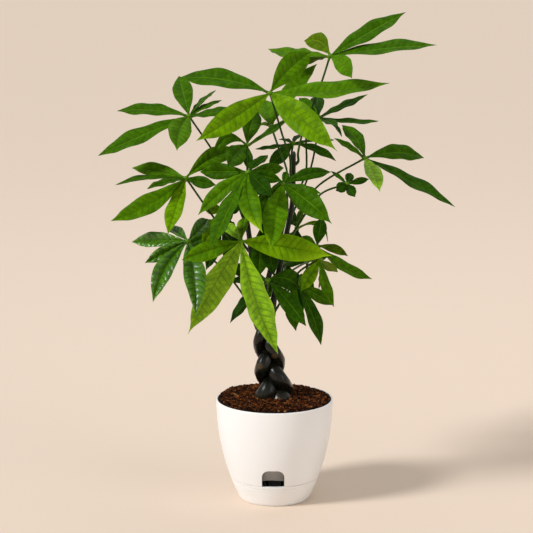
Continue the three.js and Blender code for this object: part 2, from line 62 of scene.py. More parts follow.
Faces = Sequence[Sequence[int]] | Array
Material = bpy.types.Material
Mesh = bpy.types.Mesh
Node = bpy.types.Node
Piece = bpy.types.Object
Tree = bpy.types.NodeTree


class Slot(Enum):
    """The record's material slots."""

    POT = "pot"
    INSERT = "insert"
    SOIL = "soil"
    BARK = "bark"
    LEAF_LIGHT = "leaf_light"
    LEAF_DARK = "leaf_dark"


# ---- the viewer's sheet


@dataclass(frozen=True)
class Sight:
    """The viewer in front of the plant, and the sheet at the pot on which stems and leaves are placed.

    Places on the sheet are mm across from its left, mm down from its top, and mm in front of the
    pot's axis.
    """

    eye: Spot = (-8.0, -1833.0, 595.6)
    reach: float = 1894.0
    tilt: float = math.radians(11.1)
    middle: float = 266.5
    picture_width: int = 533
    sensor: float = 36.0
    clip: Span = (0.05, 100.0)

    def seen(self, spot: Spot) -> Array:
        """Turns a place on the sheet into a point in space.

        Args:
            spot: The place: across, down and in front.

        Returns:
            The point, in mm.
        """
        across, down, front = spot
        rise = self.middle - down
        cos, sin = math.cos(self.tilt), math.sin(self.tilt)
        ray = np.array([across - self.middle, self.reach * cos + rise * sin, rise * cos - self.reach * sin])
        return np.array(self.eye) + ray * (-front - self.eye[1]) / ray[1]

    def camera(self) -> None:
        """Sets up the scene's camera at the viewer's eye."""
        lens = bpy.data.cameras.new("viewer")
        lens.sensor_width = self.sensor
        lens.lens = self.sensor * self.reach / self.picture_width
        lens.clip_start, lens.clip_end = self.clip
        viewer = placed("viewer", lens)
        viewer.location = Vector(self.eye) * MM
        viewer.rotation_euler = (math.pi / 2 - self.tilt, 0.0, 0.0)
        bpy.context.scene.camera = viewer


SIGHT = Sight()


# ---- small vector helpers


def unit(vector: Array) -> Array:
    """Returns the vector at length one."""
    return vector / np.linalg.norm(vector)


def around(steps: int) -> Array:
    """Returns equal steps of one full turn, from 0 on."""
    return TURN * np.arange(steps) / steps


def bell(value: Array, width: float) -> Array:
    """Returns a soft hump, 1 at a value of 0 and fading over the width on both sides."""
    return np.exp(-((value / width) ** 2))


def between(start: float, end: float, share: Array | float) -> Array | float:
    """Returns the value at a share of the way from start to end."""
    return start + (end - start) * share


def travelled(line: Array) -> Array:
    """Returns the way along a line of points up to each of them."""
    return np.concatenate([[0.0], np.cumsum(np.linalg.norm(np.diff(line, axis=0), axis=1))])


def smooth(low: float, high: float, value: Array) -> Array:
    """Returns a smooth rise from 0 at low to 1 at high; high may be below low, for a fall."""
    share = np.clip((value - low) / (high - low), 0.0, 1.0)
    return share * share * (3.0 - 2.0 * share)


LUMP_STEPS = (17.3, 5.9, 11.1)


def lumps(points: Array, size: float, seed: float = 0.0) -> Array:
    """Gives soft random lumps in space.

    Args:
        points: Points in mm.
        size: Size of a lump, in mm.
        seed: Number of the pattern.

    Returns:
        About -1 to 1 for each point.
    """
    shift = Vector([seed * step for step in LUMP_STEPS])
    values = [noise.noise(Vector(p) / size + shift) for p in points.reshape(-1, 3)]
    return np.array(values).reshape(points.shape[:-1])


class Route:
    """A smooth line through points: the same curve that the solids follow."""

    samples_per_span = 60
    heading_step = 0.004

    def __init__(self, points: Sequence[Array]) -> None:
        """Fits the line.

        Args:
            points: The points it passes through, in mm.
        """
        ends = np.array(points, dtype=float)
        line = np.vstack([2 * ends[0] - ends[1], ends, 2 * ends[-1] - ends[-2]])
        gaps = np.sqrt(np.linalg.norm(np.diff(line, axis=0), axis=1))
        parts = [self._span(line[i : i + 4], gaps[i : i + 3]) for i in range(len(ends) - 1)]
        self.samples = np.vstack([*parts, ends[-1]])
        self.travel = travelled(self.samples)

    def _span(self, four: Array, gap: Array) -> Array:
        """Samples the stretch between the middle two of four points.

        Args:
            four: Four points in a row.
            gap: The spacing of the curve's parameter between them.

        Returns:
            The points of the stretch, without its end.
        """
        before, start, end, after = four
        leave = (start - before) / gap[0] - (end - before) / (gap[0] + gap[1]) + (end - start) / gap[1]
        arrive = (end - start) / gap[1] - (after - start) / (gap[1] + gap[2]) + (after - end) / gap[2]
        leave, arrive = leave * gap[1], arrive * gap[1]
        t = np.arange(self.samples_per_span)[:, None] / self.samples_per_span
        squared = (3 * (end - start) - 2 * leave - arrive) * t**2
        cubed = (2 * (start - end) + leave + arrive) * t**3
        return start + leave * t + squared + cubed

    @property
    def length(self) -> float:
        """The length of the line, in mm."""
        return float(self.travel[-1])

    def at(self, shares: Array | float) -> Array:
        """Finds points by their share of the line's length.

        Args:
            shares: One share or several, from 0 to 1.

        Returns:
            One point, or one per row.
        """
        place = np.asarray(shares, dtype=float) * self.travel[-1]
        axes = [np.interp(place, self.travel, self.samples[:, k]) for k in range(3)]
        return np.stack(axes, axis=-1)

    def heading(self, share: float) -> Array:
        """Returns the line's direction at a share of its length."""
        step = self.heading_step
        return unit(self.at(min(1.0, share + step)) - self.at(max(0.0, share - step)))


# ---- mesh making


def grid_faces(rows: int, columns: int, closed: bool = False) -> Array:
    """Joins rows of points with quads.

    Args:
        rows: Number of rows.
        columns: Number of points in each row.
        closed: Whether each row is a ring.

    Returns:
        Four point numbers for each quad.
    """
    first = np.arange(rows - 1)[:, None] * columns
    across = np.arange(columns if closed else columns - 1)[None, :]
    following = (across + 1) % columns
    quads = [first + across, first + following, first + columns + following, first + columns + across]
    return np.stack([q.ravel() for q in quads], axis=1)


def placed(name: str, data: bpy.types.ID) -> Piece:
    """Returns a new object of that name and data, put into the scene."""
    thing = bpy.data.objects.new(name, data)
    bpy.context.collection.objects.link(thing)
    return thing


def mesh_from(name: str, points: Array, faces: Faces) -> Mesh:
    """Returns a mesh in metres from its points in mm and the point numbers of its faces."""
    mesh = bpy.data.meshes.new(name)
    mesh.from_pydata((points * MM).tolist(), [], faces)
    return mesh


def mended(mesh: Mesh, slivers: bool = False) -> Mesh:
    """Merges a mesh's double points and turns its faces outwards.

    Args:
        mesh: The mesh.
        slivers: Whether edges and faces without any size are taken out too.

    Returns:
        The same mesh.
    """
    work = bmesh.new()
    work.from_mesh(mesh)
    bmesh.ops.remove_doubles(work, verts=work.verts, dist=MERGE_DISTANCE)
    if slivers:
        bmesh.ops.dissolve_degenerate(work, edges=work.edges, dist=SLIVER_LENGTH)
    bmesh.ops.recalc_face_normals(work, faces=work.faces)
    work.to_mesh(mesh)
    work.free()
    return mesh


def finished(mesh: Mesh, name: str, crease: float) -> Piece:
    """Puts a mesh into the scene, smooth but for its creases, with its faces turned outwards.

    Args:
        mesh: The mesh.
        name: The piece's name.
        crease: Degrees of turn above which an edge stays sharp.

    Returns:
        The new object.
    """
    mended(mesh)
    mesh.shade_smooth()
    mesh.set_sharp_from_angle(angle=math.radians(crease))
    mesh.validate()
    return placed(name, mesh)


def declare(piece: Piece, node: str) -> None:
    """Tells the frame what a piece rides on, and the solid that it stands for.

    Args:
        piece: The piece.
        node: The solid that it replaces.
    """
    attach(piece, BODY)
    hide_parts(node)
    LOG.info("%s: %d faces, in place of %s", piece.name, len(piece.data.polygons), node)


class Sketch:
    """Collects the points, faces, finishes and marks of one mesh while it is put together."""

    def __init__(self) -> None:
        """Starts with nothing."""
        self.points: list[Array] = []
        self.faces: list[list[int]] = []
        self.finishes: list[int] = []
        self.marks: dict[str, list[tuple[int, Array]]] = {}
        self.count = 0

    def add(self, points: Array, faces: Faces, finish: int = 0, **marks: Array) -> None:
        """Adds a closed body.

        Args:
            points: Its points, in mm.
            faces: Point numbers of each face.
            finish: Number of its finish.
            **marks: Three numbers per point that a finish reads, by name.
        """
        rows = faces.tolist() if isinstance(faces, Array) else faces
        self.faces += [[corner + self.count for corner in row] for row in rows]
        self.finishes += [finish] * len(rows)
        for name, values in marks.items():
            self.marks.setdefault(name, []).append((self.count, np.asarray(values, dtype=float)))
        self.points.append(np.asarray(points, dtype=float))
        self.count += len(points)

    def build(self, name: str, materials: Sequence[Material], crease: float) -> Piece:
        """Makes the object.

        Args:
            name: The piece's name.
            materials: Its finishes, in the order of their numbers.
            crease: Degrees of turn above which an edge stays sharp.

        Returns:
            The new object, in metres.
        """
        mesh = mesh_from(name, np.vstack(self.points), self.faces)
        for mark, blocks in self.marks.items():
            values = np.zeros((self.count, 3))
            for start, block in blocks:
                values[start : start + len(block)] = block
            mesh.attributes.new(mark, "FLOAT_VECTOR", "POINT").data.foreach_set("vector", values.ravel())
        for material in materials:
            mesh.materials.append(material)
        mesh.polygons.foreach_set("material_index", self.finishes)
        return finished(mesh, name, crease)


def tube(line: Array, radii: Array, sides: int) -> tuple[Array, Array, Array]:
    """Lays rings of points along a line.

    Args:
        line: Points of the middle line, in mm.
        radii: Radius at each.
        sides: Points in each ring.

    Returns:
        The ring points as rows by sides by three, the way outwards at each, and the angles of a ring.
    """
    headings = np.gradient(line, axis=0)
    headings /= np.linalg.norm(headings, axis=1)[:, None]
    turn = around(sides)
    across = np.array([1.0, 0.0, 0.0])
    outward = np.empty((len(line), sides, 3))
    for i, heading in enumerate(headings):
        across = unit(across - across.dot(heading) * heading)
        other = np.cross(heading, across)
        outward[i] = np.cos(turn)[:, None] * across + np.sin(turn)[:, None] * other
    return line[:, None, :] + outward * np.asarray(radii)[:, None, None], outward, turn


def capped(rings: Array) -> tuple[Array, list[list[int]]]:
    """Closes rings of points into a body.

    Args:
        rings: Rings as rows by sides by three.

    Returns:
        Its points and its faces.
    """
    rows, sides, _ = rings.shape
    points = np.vstack([rings.reshape(-1, 3), rings[0].mean(axis=0), rings[-1].mean(axis=0)])
    faces = grid_faces(rows, sides, closed=True).tolist()
    low, high = rows * sides, rows * sides + 1
    last = (rows - 1) * sides
    for k in range(sides):
        faces.append([low, (k + 1) % sides, k])
        faces.append([high, last + k, last + (k + 1) % sides])
    return points, faces


def bark_marks(turn: Array, travel: Array, fresh: Array | float, radius: float = 1.0) -> Array:
    """Marks the points of a tube for its fibres and its green.

    Args:
        turn: The angles of a ring.
        travel: The way along at each ring, in mm.
        fresh: How green each ring is, from 0 to 1.
        radius: Radius that the fibres are spread round.

    Returns:
        The way round, the way along and the green of each point.
    """
    around_it = np.tile(radius * np.sin(turn), len(travel))
    green = np.broadcast_to(fresh, travel.shape)
    return np.column_stack([around_it, *[np.repeat(row, len(turn)) for row in (travel, green)]])


def ball(subdivisions: int) -> tuple[Array, Array]:
    """Returns the points of a ball of radius one, and the three point numbers of each face."""
    work = bmesh.new()
    bmesh.ops.create_icosphere(work, subdivisions=subdivisions, radius=1.0)
    work.verts.ensure_lookup_table()
    points = np.array([vertex.co for vertex in work.verts])
    faces = np.array([[vertex.index for vertex in face.verts] for face in work.faces])
    work.free()
    return points, faces


def rounded(corners: Sequence[Corner], steps: int = 4) -> list[Span]:
    """Rounds the corners of a turned profile.

    Args:
        corners: Radius, height and rounding of each corner, in mm.
        steps: Flats in each rounding.

    Returns:
        The profile's points.
    """
    longest = 0.45
    points: list[Span] = []
    for i, (radius, height, fillet) in enumerate(corners):
        here = np.array([radius, height])
        if fillet <= 0 or i in (0, len(corners) - 1):
            points.append((radius, height))
            continue
        before = np.array(corners[i - 1][:2]) - here
        after = np.array(corners[i + 1][:2]) - here
        reach = min(fillet, longest * np.linalg.norm(before), longest * np.linalg.norm(after))
        start, end = here + unit(before) * reach, here + unit(after) * reach
        for t in np.linspace(0.0, 1.0, steps + 1):
            place = (1 - t) ** 2 * start + 2 * t * (1 - t) * here + t**2 * end
            points.append((float(place[0]), float(place[1])))
    return points


def turned(name: str, profile: Sequence[Span], segments: int) -> Mesh:
    """Turns a profile round the pot's axis.

    Args:
        name: The mesh's name.
        profile: Radius and height of each point: a loop, or from the axis back to it.
        segments: Flats round the axis.

    Returns:
        The closed mesh, in metres.
    """
    outline = np.array(profile)
    radius, height = outline[:, 0:1], np.repeat(outline[:, 1:2], segments, axis=1)
    turn = around(segments)
    rings = np.stack([radius * np.cos(turn), radius * np.sin(turn), height], axis=-1)
    on_axis = outline[0][0] < MERGE_DISTANCE
    rows = rings if on_axis else np.concatenate([rings, rings[:1]])
    faces = grid_faces(len(rows), segments, closed=True).tolist()
    return mended(mesh_from(name, rows.reshape(-1, 3), faces), slivers=True)


def cut(mesh: Mesh, cutters: Sequence[Mesh]) -> Mesh:
    """Cuts shapes out of a mesh.

    Args:
        mesh: The mesh to cut.
        cutters: The shapes to take away.

    Returns:
        The cut mesh.
    """
    body = placed("uncut", mesh)
    tools = [placed("cutter", cutter) for cutter in cutters]
    for tool in tools:
        step = body.modifiers.new("cut", "BOOLEAN")
        step.operation, step.solver, step.object = "DIFFERENCE", "EXACT", tool
    view = bpy.context.evaluated_depsgraph_get()
    result = bpy.data.meshes.new_from_object(body.evaluated_get(view))
    for scrap in [body, *tools]:
        bpy.data.objects.remove(scrap)
    return result


def prism(outline: Sequence[Span], near: float, far: float) -> Mesh:
    """Draws an outline out towards the viewer.

    Args:
        outline: Across and height of each corner, in mm, going round once.
        near: Where it starts, in mm in front of the pot's axis.
        far: Where it ends.

    Returns:
        The closed mesh, in metres.
    """
    flat = np.array(outline)
    count = len(flat)
    ends = [np.column_stack([flat[:, 0], np.full(count, -front), flat[:, 1]]) for front in (near, far)]
    faces = [list(range(count)), list(range(2 * count - 1, count - 1, -1))]
    faces += [[k, (k + 1) % count, count + (k + 1) % count, count + k] for k in range(count)]
    return mended(mesh_from("prism", np.vstack(ends), faces))


def moulded(mesh: Mesh, name: str, material: Material, node: str) -> None:
    mesh.materials.clear()
    mesh.materials.append(material)
    declare(finished(mesh, name, MOULDED_CREASE), node)


# ---- finishes


class Sum(Enum):
    """What a sum node works out."""

    PLUS = "ADD"
    MINUS = "SUBTRACT"
    TIMES = "MULTIPLY"
    SIZE = "ABSOLUTE"
    FRACTION = "FRACT"
    SMALLER = "MINIMUM"


class Mix(Enum):
    """How one colour is laid over another."""

    COVER = "MIX"
    MULTIPLY = "MULTIPLY"


class Cells(Enum):
    """What is measured in a pattern of cells."""

    FROM_MIDDLE = "F1"
    FROM_EDGE = "DISTANCE_TO_EDGE"


class Wiring:
    """Adds nodes to one node tree and joins them."""

    def __init__(self, tree: Tree) -> None:
        """Starts on a tree, which it empties."""
        self.tree = tree
        self.tree.nodes.clear()

    def add(self, kind: str, **settings: object) -> Node:
        """Returns a new node of a kind, with its settings."""
        node = self.tree.nodes.new(kind)
        for name, value in settings.items():
            setattr(node, name, value)
        return node

    def feed(self, target: Socket, value: object) -> None:
        """Joins a socket to another, or gives it a plain value.

        Args:
            target: The input socket.
            value: A socket, a number or a colour.
        """
        if isinstance(value, Socket):
            self.tree.links.new(value, target)
        elif isinstance(value, tuple) and target.type == "RGBA":
            target.default_value = (*value, 1.0)
        else:
            target.default_value = value

    def feed_all(self, node: Node, values: dict[str, object]) -> None:
        """Feeds several inputs of a node, by their names."""
        for name, value in values.items():
            self.feed(node.inputs[name], value)

    def sum(self, operation: Sum, *values: object) -> Socket:
        """Returns the result of a sum of numbers or sockets."""
        node = self.add("ShaderNodeMath", operation=operation.value)
        for target, value in zip(node.inputs, values):
            self.feed(target, value)
        return node.outputs[0]

    def plus(self, first: object, second: object) -> Socket:
        """Returns two numbers added up."""
        return self.sum(Sum.PLUS, first, second)

    def minus(self, first: object, second: object) -> Socket:
        """Returns the first number less the second."""
        return self.sum(Sum.MINUS, first, second)

    def times(self, first: object, second: object, third: object = None) -> Socket:
        """Returns two or three numbers multiplied."""
        product = self.sum(Sum.TIMES, first, second)
        return product if third is None else self.sum(Sum.TIMES, product, third)

    def swing(self, value: Socket, width: object) -> Socket:
        """Returns a number from 0 to 1 as a swing about 0, as wide as given."""
        return self.times(self.minus(value, 0.5), width)

    def rise(self, value: Socket, low: float, high: float) -> Socket:
        """Returns a smooth rise from 0 at low to 1 at high; high may be below low, for a fall."""
        node = self.add("ShaderNodeMapRange", interpolation_type="SMOOTHSTEP")
        for target, number in zip(node.inputs, (value, low, high, 0.0, 1.0)):
            self.feed(target, number)
        return node.outputs[0]

    def blend(self, share: object, first: object, second: object, how: Mix = Mix.COVER) -> Socket:
        """Mixes two colours.

        Args:
            share: How much of the second, from 0 to 1.
            first: The first colour.
            second: The second colour.
            how: The kind of mix.

        Returns:
            The mixed colour.
        """
        node = self.add("ShaderNodeMix", data_type="RGBA", blend_type=how.value)
        self.feed(node.inputs["Factor"], share)
        self.feed(node.inputs[6], first)
        self.feed(node.inputs[7], second)
        return node.outputs[2]

    def layers(self, colour: Socket, *layers: tuple[Socket, Socket]) -> Socket:
        """Returns a colour with others laid over it, each given with its share."""
        for share, layer in layers:
            colour = self.blend(share, colour, layer)
        return colour

    def noise(self, place: Socket, scale: object, detail: float = 3.0, roughness: float = 0.5) -> Socket:
        """Returns cloudy noise from 0 to 1, with so many clouds to a metre."""
        node = self.add("ShaderNodeTexNoise")
        self.feed_all(node, {"Vector": place, "Scale": scale, "Detail": detail, "Roughness": roughness})
        return node.outputs["Fac"]

    def cells(self, place: Socket, scale: float, measured: Cells) -> Socket:
        """Returns the distance from the middle or edge of cells, so many to a metre."""
        node = self.add("ShaderNodeTexVoronoi", feature=measured.value)
        self.feed_all(node, {"Vector": place, "Scale": scale})
        return node.outputs["Distance"]

    def spread(self, share: Socket, stops: Sequence[tuple[float, Colour]]) -> Socket:
        """Spreads colours over a number.

        Args:
            share: The number, from 0 to 1.
            stops: Where each colour stands.

        Returns:
            The colour.
        """
        node = self.add("ShaderNodeValToRGB")
        elements = node.color_ramp.elements
        while len(elements) < len(stops):
            elements.new(0.5)
        for element, (place, colour) in zip(elements, stops):
            element.position = place
            element.color = (*colour, 1.0)
        self.feed(node.inputs[0], share)
        return node.outputs[0]

    def parts(self, vector: Socket) -> list[Socket]:
        """Returns the three numbers of a vector."""
        node = self.add("ShaderNodeSeparateXYZ")
        self.feed(node.inputs[0], vector)
        return list(node.outputs)

    def mark(self, name: str) -> list[Socket]:
        """Returns the three numbers that were marked on the mesh under a name."""
        return self.parts(self.add("ShaderNodeAttribute", attribute_name=name).outputs["Vector"])

    def place(self, stretch: Spot | None = None) -> Socket:
        """Returns the place on the object in metres, packed together along each axis if asked."""
        here = self.add("ShaderNodeTexCoord").outputs["Object"]
        if stretch is None:
            return here
        node = self.add("ShaderNodeMapping")
        self.feed_all(node, {"Vector": here, "Scale": stretch})
        return node.outputs[0]

    def raised(self, surface: Node, height: Socket, strength: float, distance: float) -> None:
        """Lets a height show on a surface, where a height of 1 stands for the distance in mm."""
        bump = self.add("ShaderNodeBump")
        self.feed_all(bump, {"Strength": strength, "Distance": distance * MM, "Height": height})
        self.feed(surface.inputs["Normal"], bump.outputs["Normal"])


def blank_material(name: str, plain: dict[str, float | Colour]) -> tuple[Material, Wiring, Node]:
    """Makes a material with a bare surface.

    Args:
        name: The material's name.
        plain: What is the same all over, by the names of the surface's inputs.

    Returns:
        The material, its wiring and its surface's node.
    """
    material = bpy.data.materials.new(name)
    material.use_nodes = True
    wiring = Wiring(material.node_tree)
    surface = wiring.add("ShaderNodeBsdfPrincipled")
    wiring.feed_all(surface, plain)
    leave = wiring.add("ShaderNodeOutputMaterial")
    wiring.feed(leave.inputs["Surface"], surface.outputs["BSDF"])
    return material, wiring, surface


@dataclass(frozen=True)
class Shine:
    """How a surface reflects and how strongly its relief shows, the same all over."""

    specular: float = 0.5
    ior: float = 1.5
    coat: float = 0.0
    coat_roughness: float = 0.2
    bump: float = 0.1
    bump_distance: float = 0.2


@dataclass(frozen=True, kw_only=True)
class Finish:
    """A finish that a shared node group makes: its fields but for the shine feed the group's inputs."""

    shine: Shine

    def make(self, name: str, group: Tree) -> Material:
        """Makes a material of this finish.

        Args:
            name: The material's name.
            group: The node group that gives its colour, roughness and height.

        Returns:
            The material.
        """
        shine = self.shine
        plain = {
            "Specular IOR Level": shine.specular,
            "IOR": shine.ior,
            "Coat Weight": shine.coat,
            "Coat Roughness": shine.coat_roughness,
        }
        material, wiring, surface = blank_material(name, plain)
        effect = wiring.add("ShaderNodeGroup", node_tree=group)
        wiring.feed_all(effect, {label(trait): getattr(self, trait.name) for trait in traits(type(self))})
        colour, rough, height = (effect.outputs[name] for name in OUTPUTS)
        wiring.feed_all(surface, {"Base Color": colour, "Roughness": rough})
        wiring.raised(surface, height, shine.bump, shine.bump_distance)
        return material


def traits(finish: type[Finish]) -> list[Field]:
    """Returns the fields of a kind of finish that feed its node group."""
    return [trait for trait in fields(finish) if trait.name != "shine"]


def label(trait: Field) -> str:
    """Returns the name of the group input that a field feeds."""
    return trait.name.replace("_", " ").title()


@dataclass(frozen=True, kw_only=True)
class PlasticFinish(Finish):
    """Moulded plastic: its clouds and grain are counted in a metre."""

    colour: Colour
    cloud_colour: Colour
    clouding: float = 0.5
    cloud_scale: float = 22.0
    grain_scale: float = 1500.0
    grain_height: float = 1.0
    roughness: float
    roughness_swing: float


@dataclass(frozen=True, kw_only=True)
class StemFinish(Finish):
    """Bark, or the skin of a stalk."""

    dark: Colour
    light: Colour
    speck: Colour
    fresh: Colour
    splash: Colour = (0.028, 0.023, 0.013)
    specks: float
    fibre_scale: float
    roughness: float


@dataclass(frozen=True, kw_only=True)
class LeafFinish(Finish):
    """The skin of a leaflet."""

    blade: Colour
    shade: Colour
    vein: Colour
    midrib: Colour
    aged: Colour = (0.28, 0.49, 0.006)
    underside: Colour
    # Strength of the painted shade in the vein grooves.
    groove: float = 0.48
    vein_show: float
    midrib_show: float
    roughness: float = 0.42
    shine: Shine = Shine(specular=0.1, ior=1.22)


NUMBER = "NodeSocketFloat"
COLOUR = "NodeSocketColor"
OUTPUTS = {"Colour": COLOUR, "Roughness": NUMBER, "Height": NUMBER}


def make_group(name: str, finish: type[Finish], fill: Callable[[Wiring, Sockets], Sockets]) -> Tree:
    """Builds a node group that materials share.

    Args:
        name: The group's name.
        finish: The kind of finish whose fields are its inputs.
        fill: Adds its nodes and gives the socket for each output.

    Returns:
        The group.
    """
    tree = bpy.data.node_groups.new(name, "ShaderNodeTree")
    inputs = {label(trait): COLOUR if trait.type == Colour else NUMBER for trait in traits(finish)}
    for direction, ports in (("INPUT", inputs), ("OUTPUT", OUTPUTS)):
        for port, kind in ports.items():
            tree.interface.new_socket(name=port, in_out=direction, socket_type=kind)
    wiring = Wiring(tree)
    entry = wiring.add("NodeGroupInput")
    leave = wiring.add("NodeGroupOutput")
    wiring.feed_all(leave, fill(wiring, {port: entry.outputs[port] for port in inputs}))
    return tree


@dataclass(frozen=True)
class MottlePattern:
    """The group that breaks up a plain surface with clouds and grain."""

    cloud: Span = (0.35, 0.65)
    cloud_detail: float = 3.0
    grain_detail: float = 2.0

    def fill(self, wiring: Wiring, given: Sockets) -> Sockets:
        """Fills the group.

        Args:
            wiring: The group's wiring.
            given: Its inputs.

        Returns:
            Its outputs.
        """
        here = wiring.place()
        clouds = wiring.noise(here, given["Cloud Scale"], self.cloud_detail)
        grain = wiring.noise(here, given["Grain Scale"], self.grain_detail)
        change = wiring.times(wiring.rise(clouds, *self.cloud), given["Clouding"])
        return {
            "Colour": wiring.blend(change, given["Colour"], given["Cloud Colour"]),
            "Roughness": wiring.plus(given["Roughness"], wiring.swing(grain, given["Roughness Swing"])),
            "Height": wiring.times(grain, given["Grain Height"]),
        }


@dataclass(frozen=True)
class VeinPattern:
    """The group that colours a leaflet by its veins, its puffed tissue, its side and its age, with painted
    shade in the grooves along its veins.

    Scales are counted in a metre, a span says where a mask starts and where it is full, and the other
    numbers are shares of a full effect.
    """

    vein_sway_scale: float = 260.0
    vein_sway: float = 0.4
    # Painted shade in the vein grooves: where it starts and is full, and how much darker than the shade green
    # it is.
    groove: Span = (0.58, 0.94)
    groove_shade: Colour = (0.55, 0.55, 0.55)
    line: Span = (0.86, 1.0)
    margin: Span = (1.0, 0.55)
    midrib: Span = (0.085, 0.02)
    net_scale: float = 620.0
    net: Span = (0.10, 0.0)
    net_show: float = 0.16
    cloud_scale: float = 120.0
    cloud: Span = (0.34, 0.66)
    cloud_show: float = 0.75
    tint_show: float = 0.2
    aged: Span = (0.95, 1.5)
    aged_raggedness: float = 0.12
    ageing_reach: float = 0.6
    ageing_gain: float = 3.0
    under_roughness: float = 0.16
    cloud_roughness: float = 0.07
    net_height: float = -0.35
    line_height: float = -0.5
    midrib_depth: float = 0.4
    grain_scale: float = 900.0
    grain_height: float = 0.35

    def fill(self, wiring: Wiring, given: Sockets) -> Sockets:
        """Fills the group.

        Args:
            wiring: The group's wiring.
            given: Its inputs.

        Returns:
            Its outputs.
        """
        across, phase, along = wiring.mark("leaf_place")
        top, tint, ageing = wiring.mark("leaf_mark")
        here = wiring.place()
        out = wiring.sum(Sum.SIZE, across)
        sway = wiring.swing(wiring.noise(here, self.vein_sway_scale), self.vein_sway)
        turn = wiring.sum(Sum.FRACTION, wiring.plus(phase, sway))
        near_vein = wiring.times(wiring.sum(Sum.SIZE, wiring.minus(turn, 0.5)), 2.0)
        line = wiring.rise(near_vein, *self.line)
        fade = wiring.rise(out, *self.margin)
        midrib = wiring.rise(out, *self.midrib)
        net = wiring.rise(wiring.cells(here, self.net_scale, Cells.FROM_EDGE), *self.net)
        clouds = wiring.rise(wiring.noise(here, self.cloud_scale, detail=4.0, roughness=0.65), *self.cloud)
        ragged = wiring.times(wiring.plus(clouds, across), self.aged_raggedness)
        reach = wiring.plus(wiring.plus(along, ragged), wiring.times(ageing, self.ageing_reach))
        old = wiring.sum(Sum.SMALLER, 1.0, wiring.times(ageing, self.ageing_gain))
        under = wiring.minus(1.0, top)
        shade = wiring.plus(wiring.times(clouds, self.cloud_show), wiring.times(tint, self.tint_show))
        # Painted shade for the grooves along the veins: the shade green darkened further.
        hollow = wiring.blend(1.0, given["Shade"], self.groove_shade, Mix.MULTIPLY)
        colour = wiring.layers(
            given["Blade"],
            (shade, given["Shade"]),
            (wiring.times(wiring.rise(near_vein, *self.groove), fade, given["Groove"]), hollow),
            (wiring.times(line, fade, given["Vein Show"]), given["Vein"]),
            (wiring.times(net, self.net_show), given["Vein"]),
            (wiring.times(midrib, given["Midrib Show"]), given["Midrib"]),
            (wiring.times(wiring.rise(reach, *self.aged), old), given["Aged"]),
            (under, given["Underside"]),
        )
        rough = wiring.plus(given["Roughness"], wiring.times(under, self.under_roughness))
        height = wiring.plus(wiring.times(net, self.net_height), wiring.times(line, self.line_height))
        height = wiring.plus(height, wiring.times(wiring.noise(here, self.grain_scale), self.grain_height))
        return {
            "Colour": colour,
            "Roughness": wiring.plus(rough, wiring.swing(clouds, self.cloud_roughness)),
            "Height": wiring.minus(height, wiring.times(midrib, self.midrib_depth)),
        }


@dataclass(frozen=True)
class GrainPattern:
    """The group for bark and stalks: long fibres, corky specks, brown scars and splashes of soil.

    Scales are counted in a metre, a span says where a mask starts and where it is full, and each scar is a
    place on the viewer's sheet. The other numbers are shares of a full effect, or metres.
    """

    fibre_stretch: float = 0.16
    fibre: Span = (0.5, 0.72)
    fibre_show: float = 0.55
    cloud_scale: float = 70.0
    cloud: Span = (0.35, 0.7)
    speck_scale: float = 330.0
    speck_stretch: Spot = (1.0, 1.0, 1.8)
    speck: Span = (0.22, 0.1)
    speck_height: float = 0.5
    splash: Span = (0.117, 0.106)
    splash_raggedness: float = 0.006
    splash_show: float = 0.55
    scar: Span = (0.0042, 0.0024)
    scars: tuple[Spot, ...] = ((259.5, 366.0, 14.0), (274.5, 357.0, 13.0))
    roughness_swing: float = 0.3

    def fill(self, wiring: Wiring, given: Sockets) -> Sockets:
        """Fills the group.

        Args:
            wiring: The group's wiring.
            given: Its inputs.

        Returns:
            Its outputs.
        """
        round_about, along, fresh = wiring.mark("bark_place")
        grain_place = wiring.add("ShaderNodeCombineXYZ")
        wiring.feed(grain_place.inputs[0], wiring.times(round_about, given["Fibre Scale"]))
        stretched = wiring.times(given["Fibre Scale"], self.fibre_stretch)
        wiring.feed(grain_place.inputs[1], wiring.times(along, stretched))
        fibre = wiring.noise(grain_place.outputs[0], 1.0, detail=4.0, roughness=0.65)
        here = wiring.place()
        cloud = wiring.rise(wiring.noise(here, self.cloud_scale, detail=4.0, roughness=0.6), *self.cloud)
        specks = wiring.cells(wiring.place(self.speck_stretch), self.speck_scale, Cells.FROM_MIDDLE)
        speck = wiring.rise(specks, *self.speck)
        height = wiring.parts(here)[2]
        splashed = wiring.rise(wiring.plus(height, wiring.times(cloud, self.splash_raggedness)), *self.splash)
        scars = []
        for scar in self.scars:
            near = wiring.add("ShaderNodeVectorMath", operation="DISTANCE")
            wiring.feed(near.inputs[0], here)
            near.inputs[1].default_value = SIGHT.seen(scar) * MM
            scars.append((wiring.rise(near.outputs["Value"], *self.scar), given["Speck"]))
        colour = wiring.layers(
            given["Dark"],
            (cloud, given["Light"]),
            (wiring.times(wiring.rise(fibre, *self.fibre), self.fibre_show), given["Light"]),
            (wiring.times(speck, given["Specks"]), given["Speck"]),
            (wiring.times(splashed, self.splash_show), given["Splash"]),
            *scars,
            (fresh, given["Fresh"]),
        )
        return {
            "Colour": colour,
            "Roughness": wiring.plus(given["Roughness"], wiring.swing(fibre, self.roughness_swing)),
            "Height": wiring.plus(fibre, wiring.times(speck, self.speck_height)),
        }


